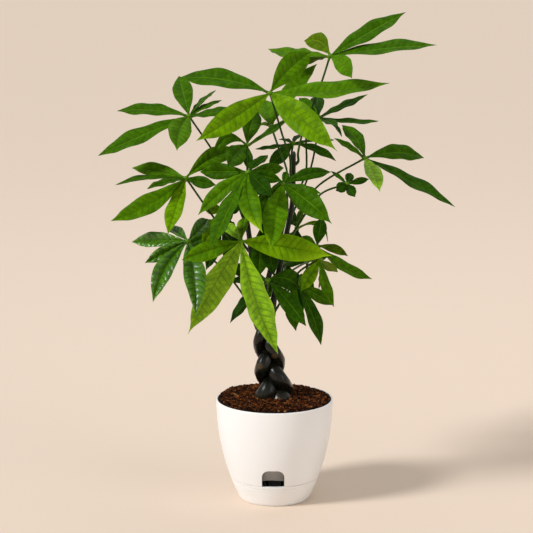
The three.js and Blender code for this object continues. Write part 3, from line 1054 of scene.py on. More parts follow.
@dataclass(frozen=True)
class SoilFinish:
    """Crumbs, chips and fibres of coir, each with its own brown, with painted shade between the crumbs and in
    the heap's low places.
    """

    browns: tuple[tuple[float, Colour], ...] = (
        (0.0, (0.0035, 0.0014, 0.0007)),
        (0.40, (0.021, 0.0058, 0.0016)),
        (0.66, (0.125, 0.030, 0.0058)),
        (0.88, (0.32, 0.098, 0.018)),
        (1.0, (0.52, 0.27, 0.10)),
    )
    # Near-black painted shade, laid over the brown by the crumb mark's second number.
    hollow: Colour = (0.003, 0.0015, 0.001)
    grain_scale: float = 700.0
    grain_swing: float = 0.3
    roughness: float = 0.72
    roughness_rise: float = 0.25
    specular: float = 0.08
    bump: float = 0.6
    bump_distance: float = 0.4

    def make(self, name: str) -> Material:
        """Returns the material, under its name."""
        material, wiring, surface = blank_material(name, {"Specular IOR Level": self.specular})
        # The crumb mark holds each point's brown and then its share of painted shade.
        crumb, hollow, _ = wiring.mark("crumb")
        grain = wiring.noise(wiring.place(), self.grain_scale, detail=4.0, roughness=0.7)
        brown = wiring.spread(wiring.plus(crumb, wiring.swing(grain, self.grain_swing)), self.browns)
        wiring.feed(surface.inputs["Base Color"], wiring.blend(hollow, brown, self.hollow))
        rough = wiring.plus(self.roughness, wiring.times(grain, self.roughness_rise))
        wiring.feed(surface.inputs["Roughness"], rough)
        wiring.raised(surface, grain, self.bump, self.bump_distance)
        return material


class LeafTone(Enum):
    """The greens of the plant, from the youngest leaflets to the oldest, partly painted light and shade:
    brighter greens on leaflets in the light, darker ones on leaflets in the crown's shade.
    """

    SUNNY = "sunny"
    BRIGHT = "bright"
    FRESH = "fresh"
    MID = "mid"
    GLOSSY = "glossy"
    DARK = "dark"
    DEEP = "deep"
    OLIVE = "olive"


# Painted light and shade on top of the leaflets' own greens: lit leaflets get the lighter greens, shaded ones
# deep in the crown the darker.
LEAF_FINISHES = {
    LeafTone.SUNNY: LeafFinish(
        blade=(0.29, 0.54, 0.008), shade=(0.12, 0.28, 0.003), vein=(0.42, 0.60, 0.05),
        midrib=(0.12, 0.24, 0.008), underside=(0.22, 0.38, 0.03), groove=0.6, vein_show=0.12,
        midrib_show=0.75, roughness=0.40, shine=Shine(specular=0.3, ior=1.3),
    ),
    LeafTone.BRIGHT: LeafFinish(
        blade=(0.155, 0.320, 0.0015), shade=(0.068, 0.165, 0.001), vein=(0.20, 0.36, 0.005),
        midrib=(0.070, 0.150, 0.002), underside=(0.12, 0.24, 0.008), vein_show=0.10, midrib_show=0.7,
    ),
    LeafTone.FRESH: LeafFinish(
        blade=(0.086, 0.212, 0.001), shade=(0.040, 0.115, 0.0008), vein=(0.13, 0.27, 0.004),
        midrib=(0.05, 0.125, 0.002), underside=(0.085, 0.18, 0.006), vein_show=0.12, midrib_show=0.55,
    ),
    LeafTone.MID: LeafFinish(
        blade=(0.050, 0.142, 0.001), shade=(0.021, 0.070, 0.0006), vein=(0.09, 0.20, 0.004),
        midrib=(0.085, 0.20, 0.005), underside=(0.06, 0.135, 0.005), vein_show=0.15, midrib_show=0.7,
    ),
    LeafTone.GLOSSY: LeafFinish(
        blade=(0.080, 0.225, 0.002), shade=(0.030, 0.112, 0.001), vein=(0.07, 0.18, 0.006),
        midrib=(0.10, 0.23, 0.010), underside=(0.045, 0.12, 0.006), groove=0.8, vein_show=0.10,
        midrib_show=0.7, roughness=0.30,
        shine=Shine(specular=0.45, ior=1.45, coat=0.12, coat_roughness=0.16),
    ),
    LeafTone.DARK: LeafFinish(
        blade=(0.030, 0.098, 0.0008), shade=(0.011, 0.044, 0.0005), vein=(0.06, 0.15, 0.004),
        midrib=(0.075, 0.18, 0.005), underside=(0.04, 0.10, 0.005), vein_show=0.13, midrib_show=0.65,
    ),
    LeafTone.DEEP: LeafFinish(
        blade=(0.018, 0.066, 0.0006), shade=(0.006, 0.027, 0.0004), vein=(0.04, 0.11, 0.003),
        midrib=(0.055, 0.14, 0.004), underside=(0.03, 0.08, 0.004), vein_show=0.12, midrib_show=0.6,
        roughness=0.44,
    ),
    LeafTone.OLIVE: LeafFinish(
        blade=(0.105, 0.185, 0.003), shade=(0.045, 0.090, 0.0015), vein=(0.15, 0.25, 0.008),
        midrib=(0.17, 0.27, 0.012), underside=(0.11, 0.18, 0.008), vein_show=0.15, midrib_show=0.5,
        roughness=0.45,
    ),
}
POT_PLASTIC = PlasticFinish(
    colour=(0.86, 0.86, 0.855), cloud_colour=(0.84, 0.838, 0.83), roughness=0.32,
    roughness_swing=0.06,
    shine=Shine(specular=0.5, coat=0.15, coat_roughness=0.3, bump=0.05, bump_distance=0.1),
)
GREY_PLASTIC = PlasticFinish(
    colour=(0.30, 0.29, 0.27), cloud_colour=(0.26, 0.25, 0.235), roughness=0.55, roughness_swing=0.1,
    shine=Shine(specular=0.35, bump=0.12, bump_distance=0.1),
)
PLAIT_BARK = StemFinish(
    dark=(0.0016, 0.0016, 0.0011), light=(0.0105, 0.011, 0.006), speck=(0.055, 0.036, 0.014),
    fresh=(0.006, 0.012, 0.0015), specks=0.3, fibre_scale=0.9, roughness=0.30,
    shine=Shine(specular=0.3, bump=0.5, bump_distance=0.35),
)
LEAF_STALK = StemFinish(
    dark=(0.012, 0.036, 0.001), light=(0.030, 0.076, 0.003), speck=(0.11, 0.16, 0.02),
    fresh=(0.10, 0.22, 0.006), specks=0.2, fibre_scale=1.6, roughness=0.38,
    shine=Shine(specular=0.3, ior=1.3, bump=0.2, bump_distance=0.15),
)


class Palette:
    """Every material of the object, made once, with the node groups that they share."""

    def __init__(self) -> None:
        """Makes the groups and the materials."""
        mottle = make_group("cloudy_grain", PlasticFinish, MottlePattern().fill)
        veins = make_group("leaf_veins", LeafFinish, VeinPattern().fill)
        grain = make_group("stem_grain", StemFinish, GrainPattern().fill)
        self.pot = POT_PLASTIC.make("pot_plastic", mottle)
        self.cup = GREY_PLASTIC.make("grey_plastic", mottle)
        self.bark = PLAIT_BARK.make("plait_bark", grain)
        self.stalk = LEAF_STALK.make("leaf_stalk", grain)
        self.soil = SoilFinish().make("coir_soil")
        self.leaves = {
            tone: finish.make(f"leaf_{tone.value}", veins) for tone, finish in LEAF_FINISHES.items()
        }


# ---- pot


@dataclass
class Pot:
    """The white pot: the outer shell with its arched water window, and the base that holds the water."""

    palette: Palette
    height: float = 102.0
    rim_radius: float = 58.2
    foot_radius: float = 35.0
    swell: float = 2.1
    wall: float = 1.6
    seam: float = 23.0
    seam_bevel: float = 0.3
    seam_edge: float = 1.2
    floor: float = 2.0
    edge: float = 1.5
    groove_height: float = 19.0
    groove_width: float = 0.8
    groove_depth: float = 0.5
    tongue: float = 5.0
    tongue_wall: float = 1.4
    window_width: float = 22.0
    window_top: float = 41.3
    window_side: float = -1.5
    window_corner: float = 7.0
    window_overshoot: float = 2.0
    ledge_height: float = 43.5
    ledge_reach: float = 2.0
    ledge_thickness: float = 1.6
    segments: int = 180
    wall_steps: int = 34
    foot_steps: int = 14
    inside_steps: int = 8
    arch_steps: int = 14
    rim_steps: int = 11
    edge_steps: int = 7

    def wall_radius(self, height: float) -> float:
        """Returns the outside radius at a height."""
        below = 1.0 - height / self.height
        return self.rim_radius - (self.rim_radius - self.foot_radius) * below**self.swell

    def inner_radius(self, height: float) -> float:
        """Returns the inside radius at a height."""
        return self.wall_radius(height) - self.wall

    def ledge_radius(self) -> float:
        """Returns the radius of the ledge that carries the soil cup."""
        return self.inner_radius(self.ledge_height - self.ledge_thickness) - self.ledge_reach

    def wall_line(self, start: float, end: float, steps: int, inset: float = 0.0) -> list[Corner]:
        """Returns corners that follow the wall between two heights, inset from its outer face."""
        return [(self.wall_radius(z) - inset, z, 0.0) for z in np.linspace(start, end, steps)]

    def window_cutter(self, lift: float = 0.0) -> Mesh:
        """Makes the arch that is cut out for the water window.

        Args:
            lift: How much higher than on the shell it stands, in mm.

        Returns:
            The cutting shape.
        """
        half = self.window_width / 2
        corner = self.window_corner
        bottom = self.seam - GAP + lift
        spring = self.window_top - corner + lift
        outline = [(-half, bottom), (half, bottom)]
        for side, start in ((1, 0.0), (-1, math.pi / 2)):
            for t in np.linspace(start, start + math.pi / 2, self.arch_steps):
                outline.append((side * (half - corner) + corner * math.cos(t), spring + corner * math.sin(t)))
        beyond = self.rim_radius + self.window_overshoot
        return prism([(x + self.window_side, z) for x, z in outline], 0.0, beyond)

    def shell(self) -> None:
        """Builds the outer shell."""
        low = self.seam + GAP / 2
        lip = self.wall / 2
        shoulder = self.height - lip
        middle = self.wall_radius(shoulder) - lip
        ledge, ledge_radius = self.ledge_height, self.ledge_radius()
        under = ledge - self.ledge_thickness
        slope_end = under - self.ledge_reach
        profile = [
            *self.wall_line(low + self.seam_bevel, shoulder, self.wall_steps),
            *[
                (middle + lip * math.cos(t), shoulder + lip * math.sin(t), 0.0)
                for t in np.linspace(0.0, math.pi, self.rim_steps)[1:-1]
            ],
            *self.wall_line(shoulder, ledge + 1.0, self.wall_steps, self.wall),
            (self.inner_radius(ledge), ledge, 0.8),
            (ledge_radius, ledge, 0.5),
            (ledge_radius, under, 0.3),
            (self.inner_radius(slope_end), slope_end, 0.5),
            *self.wall_line(slope_end - self.ledge_reach, low, self.inside_steps, self.wall),
            (self.wall_radius(low) - self.seam_bevel, low, 0.0),
        ]
        mesh = cut(turned("pot_wall", rounded(profile), self.segments), [self.window_cutter()])
        moulded(mesh, "pot_wall", self.palette.pot, "pot_shell")

    def base(self) -> None:
        """Builds the reservoir base."""
        top = self.seam - GAP / 2
        groove = self.groove_height
        groove_top = groove + self.groove_width
        tongue_top = self.seam + self.tongue
        tongue = self.inner_radius(tongue_top) - GAP
        shoulder = self.inner_radius(top)
        profile = [
            (0.0, 0.0, 0.0),
            *[
                (self.wall_radius(0) - self.edge * (1 - math.sin(t)), self.edge * (1 - math.cos(t)), 0.0)
                for t in np.linspace(0.0, math.pi / 2, self.edge_steps)
            ],
            *self.wall_line(self.edge + 0.5, groove - 0.3, self.foot_steps),
            (self.wall_radius(groove), groove, 0.15),
            (self.wall_radius(groove) - self.groove_depth, groove + self.groove_width / 2, 0.2),
            (self.wall_radius(groove_top), groove_top, 0.15),
            (self.wall_radius(top - self.seam_edge), top - self.seam_edge, 0.0),
            (self.wall_radius(top), top, 0.4),
            (shoulder - GAP, top, 0.0),
            (tongue, tongue_top, 0.5),
            (tongue - self.tongue_wall, tongue_top, 0.5),
            (shoulder - self.tongue_wall - GAP, top, 0.0),
            *self.wall_line(groove, self.floor + self.edge, self.inside_steps, self.wall + self.edge / 2),
            (self.inner_radius(self.floor) - self.edge, self.floor, 0.6),
            (0.0, self.floor, 0.0),
        ]
        mesh = cut(turned("water_base", rounded(profile), self.segments), [self.window_cutter(GAP / 2)])
        moulded(mesh, "water_base", self.palette.pot, "pot_base")


def spin(turn: float) -> Array:
    """Returns the matrix that turns points about the vertical."""
    cos, sin = math.cos(turn), math.sin(turn)
    return np.array([[cos, -sin, 0], [sin, cos, 0], [0, 0, 1]])


@dataclass
class SoilCup:
    """The grey cup that holds the soil off the water, with the hollow foot that draws water up."""

    palette: Palette
    pot: Pot
    floor_height: float = 31.0
    floor_radius: float = 40.0
    wall: float = 1.8
    flange: float = 1.6
    skirt_bottom: float = 26.5
    skirt_radius: float = 39.6
    skirt_wall: float = 1.4
    notch_radius: float = 47.0
    notch_centre: float = -18.3
    notch_depth: Span = (20.0, 60.0)
    notch_steps: int = 180
    foot_top_radius: float = 13.0
    foot_radius: float = 10.5
    slot_width: float = 5.0
    slot_height: float = 14.0
    slot_lift: float = 2.0
    slots: int = 4
    segments: int = 120

    def neck_radius(self) -> float:
        """Returns the radius where the cup passes the shell's ledge."""
        return self.pot.ledge_radius() - GAP

    def build(self) -> None:
        """Builds the cup."""
        ledge = self.pot.ledge_height
        flange_height = ledge + GAP
        flange_radius = self.pot.inner_radius(flange_height) - GAP
        bottom = self.pot.floor + GAP
        neck = self.neck_radius()
        skirt = self.skirt_radius - self.skirt_wall
        profile = [
            (0.0, bottom, 0.0),
            (self.foot_radius, bottom, 0.8),
            (self.foot_top_radius, self.floor_height, 0.8),
            (skirt, self.floor_height, 0.4),
            (skirt, self.skirt_bottom, 0.3),
            (self.skirt_radius, self.skirt_bottom, 0.3),
            (self.floor_radius, self.floor_height, 1.6),
            (neck, ledge - self.pot.ledge_thickness, 0.6),
            (neck, flange_height, 0.3),
            (flange_radius, flange_height, 0.3),
            (flange_radius, flange_height + self.flange, 0.4),
            (neck - self.wall, flange_height + self.flange, 0.4),
            (self.floor_radius - self.wall / 2, self.floor_height + self.wall, 1.4),
            (self.foot_top_radius - self.wall, self.floor_height + self.wall, 0.6),
            (self.foot_radius - self.wall, bottom + self.wall, 0.5),
            (0.0, bottom + self.wall, 0.0),
        ]
        body = turned("soil_cup", rounded(profile), self.segments)
        cutters = [self._notch(), *self._slots(bottom + self.wall + self.slot_lift)]
        moulded(cut(body, cutters), "soil_cup", self.palette.cup, "soil_insert")

    def _notch(self) -> Mesh:
        """Returns the drum that cuts the arched pouring gap out of the skirt."""
        turn = around(self.notch_steps)
        outline = np.column_stack([np.cos(turn), np.sin(turn)]) * self.notch_radius
        outline += np.array([self.pot.window_side, self.notch_centre])
        return prism(outline.tolist(), *self.notch_depth)

    def _slots(self, low: float) -> list[Mesh]:
        """Makes the shapes that cut the water slots into the foot.

        Args:
            low: Height of their lower end, in mm.

        Returns:
            The shapes.
        """
        half, high = self.slot_width / 2, low + self.slot_height
        near = self.foot_radius - self.foot_top_radius / 2
        outline = [(-half, low), (half, low), (half, high), (-half, high)]
        slots = []
        for i in range(self.slots):
            slot = prism(outline, near, near + self.foot_top_radius)
            turn = math.pi + TURN * (i + 0.5) / self.slots
            points = np.array([vertex.co for vertex in slot.vertices]) @ spin(turn).T
            slot.vertices.foreach_set("co", points.ravel())
            slots.append(slot)
        return slots


# ---- trunks


class Trunk(Enum):
    """The three trunks, by the solid that each stands for."""

    RIGHT = "trunk_a"
    MIDDLE = "trunk_b"
    LEFT = "trunk_c"


@dataclass(frozen=True)
class Stem:
    """How a trunk starts in the plait, and the thin stem that it goes on as."""

    name: str
    trunk: Trunk
    phase_height: float
    seed: int
    route: tuple[Spot, ...]


STEMS = (
    Stem("trunk_right", Trunk.RIGHT, 129.0, 3, (
        (273, 304, 4), (279, 270, 1), (286, 236, -4), (292, 205, -8), (294, 151, -10),
    )),
    Stem("trunk_middle", Trunk.MIDDLE, 157.0, 5, (
        (264, 300, 5), (271, 268, 8), (280, 236, 12), (286, 212, 14), (286, 194, 14),
    )),
    Stem("trunk_left", Trunk.LEFT, 101.0, 8, (
        (256, 301, -7), (253, 270, -4), (249, 235, 0), (245, 205, 2), (243, 176, 2),
    )),
)


@dataclass(frozen=True)
class BarkRelief:
    """The lumps, each by height and size, and the ridges and scars of the bark, in mm."""

    broad: Span = (0.55, 11.0)
    fine: Span = (0.22, 2.0)
    fine_stretch: Spot = (1.0, 1.0, 0.3)
    full_radius: float = 8.6
    least: float = 0.25
    scar_spacing: float = 13.0
    scar_margin: float = 6.0
    scar_shift: float = 2.5
    scar_jitter: float = 2.0
    ridge: float = 0.28
    ridge_width: float = 0.8
    ridge_lean: float = 1.2
    ridge_turn: float = 6.3
    ridge_evenness: float = 0.6
    knob: float = 0.5
    knob_width: float = 2.0
    knob_height: float = 1.8
    hollow: float = 0.8
    hollow_tightness: float = 4.0

    def heights(self, rings: Array, turn: Array, travel: Array, radii: Array, seed: int) -> Array:
        """Works out how far the bark stands off a smooth trunk.

        Args:
            rings: The smooth trunk's points as rows by sides by three.
            turn: The angles round a ring.
            travel: The way along at each ring.
            radii: The radius at each ring.
            seed: Number of its random pattern.

        Returns:
            The height of each point, as rows by sides.
        """
        size = np.clip(radii / self.full_radius, self.least, 1.0)[:, None]
        (broad, broad_size), (fine, fine_size) = self.broad, self.fine
        fine_lumps = lumps(rings * np.array(self.fine_stretch), fine_size, seed + 1)
        relief = (broad * lumps(rings, broad_size, seed) + fine * fine_lumps) * size
        rng = np.random.default_rng(seed)
        scars = np.arange(self.scar_margin, travel[-1] - self.scar_margin, self.scar_spacing)
        for scar in scars + rng.uniform(-self.scar_shift, self.scar_shift):
            at = scar + rng.uniform(-self.scar_jitter, self.scar_jitter)
            lean = rng.uniform(-self.ridge_lean, self.ridge_lean)
            away = travel[:, None] - at
            ridge = away - lean * np.cos(turn + rng.uniform(0, self.ridge_turn))[None, :]
            evenness = self.ridge_evenness + (1 - self.ridge_evenness) * np.cos(turn * 2 + at)[None, :]
            relief += self.ridge * size * bell(ridge, self.ridge_width) * evenness
            facing = rng.uniform(0, TURN)
            off = np.angle(np.exp(1j * (turn - facing)))[None, :] * radii[:, None]
            knob = (off / self.knob_width) ** 2 + (away / self.knob_height) ** 2
            relief += self.knob * size * (np.exp(-knob) - self.hollow * np.exp(-knob * self.hollow_tightness))
        return relief


@dataclass
class Plait:
    """The three plaited trunks."""

    palette: Palette
    pot: Pot
    bottom: float = 78.0
    top: float = 177.0
    period: float = 84.0
    foot_radius: float = 8.6
    top_radius: float = 4.7
    foot_spread: float = 11.2
    top_spread: float = 6.6
    depth: float = 1.25
    side: float = 1.2
    lean: float = 12.0
    stem_foot_radius: float = 3.2
    stem_apex_radius: float = 2.0
    shoulder: float = 6.0
    bud: float = 0.015
    bud_tip: float = 0.02
    sides: int = 44
    step: float = 1.1
    stem_step: float = 1.43
    soil_height: float = 103.0
    flare: float = 1.8
    flare_height: float = 7.0
    greening: Span = (178.0, 250.0)
    fibre_radius: float = 5.0
    crease: float = 70.0
    relief: BarkRelief = BarkRelief()
    stems: dict[Trunk, Route] = field(default_factory=dict)

    def share(self, height: Array) -> Array:
        """Returns how far up the plait a height is, from 0 at the pot's rim to 1."""
        return np.clip((height - self.pot.height) / (self.top - self.pot.height), 0.0, 1.0)

    def radius(self, height: Array) -> Array:
        """Returns a trunk's radius at a height in the plait."""
        return between(self.foot_radius, self.top_radius, self.share(height))

    def line(self, height: Array, phase_height: float) -> Array:
        """Works out a trunk's middle line in the plait.

        Args:
            height: Heights, in mm.
            phase_height: Height at which the trunk is furthest to the left.

        Returns:
            A point for each height.
        """
        share = self.share(height)
        turn = TURN * (height - phase_height) / self.period
        spread = between(self.foot_spread, self.top_spread, share)
        side = self.side - self.lean * share - spread * np.cos(turn)
        front = self.depth * self.radius(height) * np.sin(2 * turn)
        return np.column_stack([side, -front, height])

    def stem_radius(self, share: Array | float) -> Array:
        """Returns the radius of a thin stem at a share of the way up it."""
        slim = between(self.stem_foot_radius, self.stem_apex_radius, share)
        narrowing = self.top_radius + (slim - self.top_radius) * share * self.shoulder
        return np.maximum(slim, narrowing)

    def route(self, stem: Stem) -> Route:
        """Returns the thin stem's line, from the top of the plait on."""
        start = self.line(np.array([self.top]), stem.phase_height)[0]
        return Route([start, *[SIGHT.seen(spot) for spot in stem.route]])

    def build(self) -> None:
        """Builds the three trunks."""
        for stem in STEMS:
            self.stems[stem.trunk] = self.route(stem)
            self._trunk(stem, self.stems[stem.trunk])

    def _trunk(self, stem: Stem, route: Route) -> None:
        """Builds one trunk with its flare, its bark and its bud, and marks how green it is.

        Args:
            stem: The trunk.
            route: The line of its thin stem.
        """
        heights = np.arange(self.bottom, self.top, self.step)
        shares = np.linspace(0.0, 1.0, int(route.length / self.stem_step))
        tapered = self.stem_radius(shares)
        bud = shares > 1.0 - self.bud
        tapered[bud] *= np.sqrt(np.clip((1.0 - shares[bud]) / self.bud, self.bud_tip, 1.0))
        line = np.vstack([self.line(heights, stem.phase_height), route.at(shares)])
        travel = travelled(line)
        radii = np.concatenate([self.radius(heights), tapered])
        radii = radii + self.flare * bell(line[:, 2] - self.soil_height, self.flare_height)
        rings, outward, turn = tube(line, radii, self.sides)
        relief = self.relief.heights(rings, turn, travel, radii, stem.seed)
        points, faces = capped(rings + outward * relief[:, :, None])
        marks = bark_marks(turn, travel, smooth(*self.greening, line[:, 2]), self.fibre_radius)
        sketch = Sketch()
        sketch.add(points, faces, bark_place=marks)
        piece = sketch.build(stem.name, [self.palette.bark], self.crease)
        declare(piece, stem.trunk.value)


# ---- leaves


@dataclass(frozen=True)
class Blade:
    """One leaflet: where its tip is seen, how far it comes forward from the hub, and how wide it looks.

    It bows upwards by its arch, over its length, and by its sway, in mm, clockwise round the hub. Its tip
    is drawn out by a share from 0 to 1.
    """

    across: float
    down: float
    nearer: float
    width: float
    arch: float = 0.02
    sway: float = 0.0
    tone: LeafTone | None = None
    ageing: float = 0.0
    drawn: float = 0.1


@dataclass(frozen=True)
class Leaf:
    """One palmate leaf: where it grows, the route of its stalk, its hub and its leaflets."""

    number: int
    trunk: Trunk
    at: float
    route: tuple[Spot, ...]
    hub: Spot
    tone: LeafTone
    blades: tuple[Blade, ...]
    slot: Slot = Slot.LEAF_DARK
    quilting: float = 0.4


SUNNY, BRIGHT, FRESH, MID, GLOSSY, DARK, DEEP, OLIVE = LeafTone
RIGHT, MIDDLE, LEFT = Trunk
LIGHT = Slot.LEAF_LIGHT
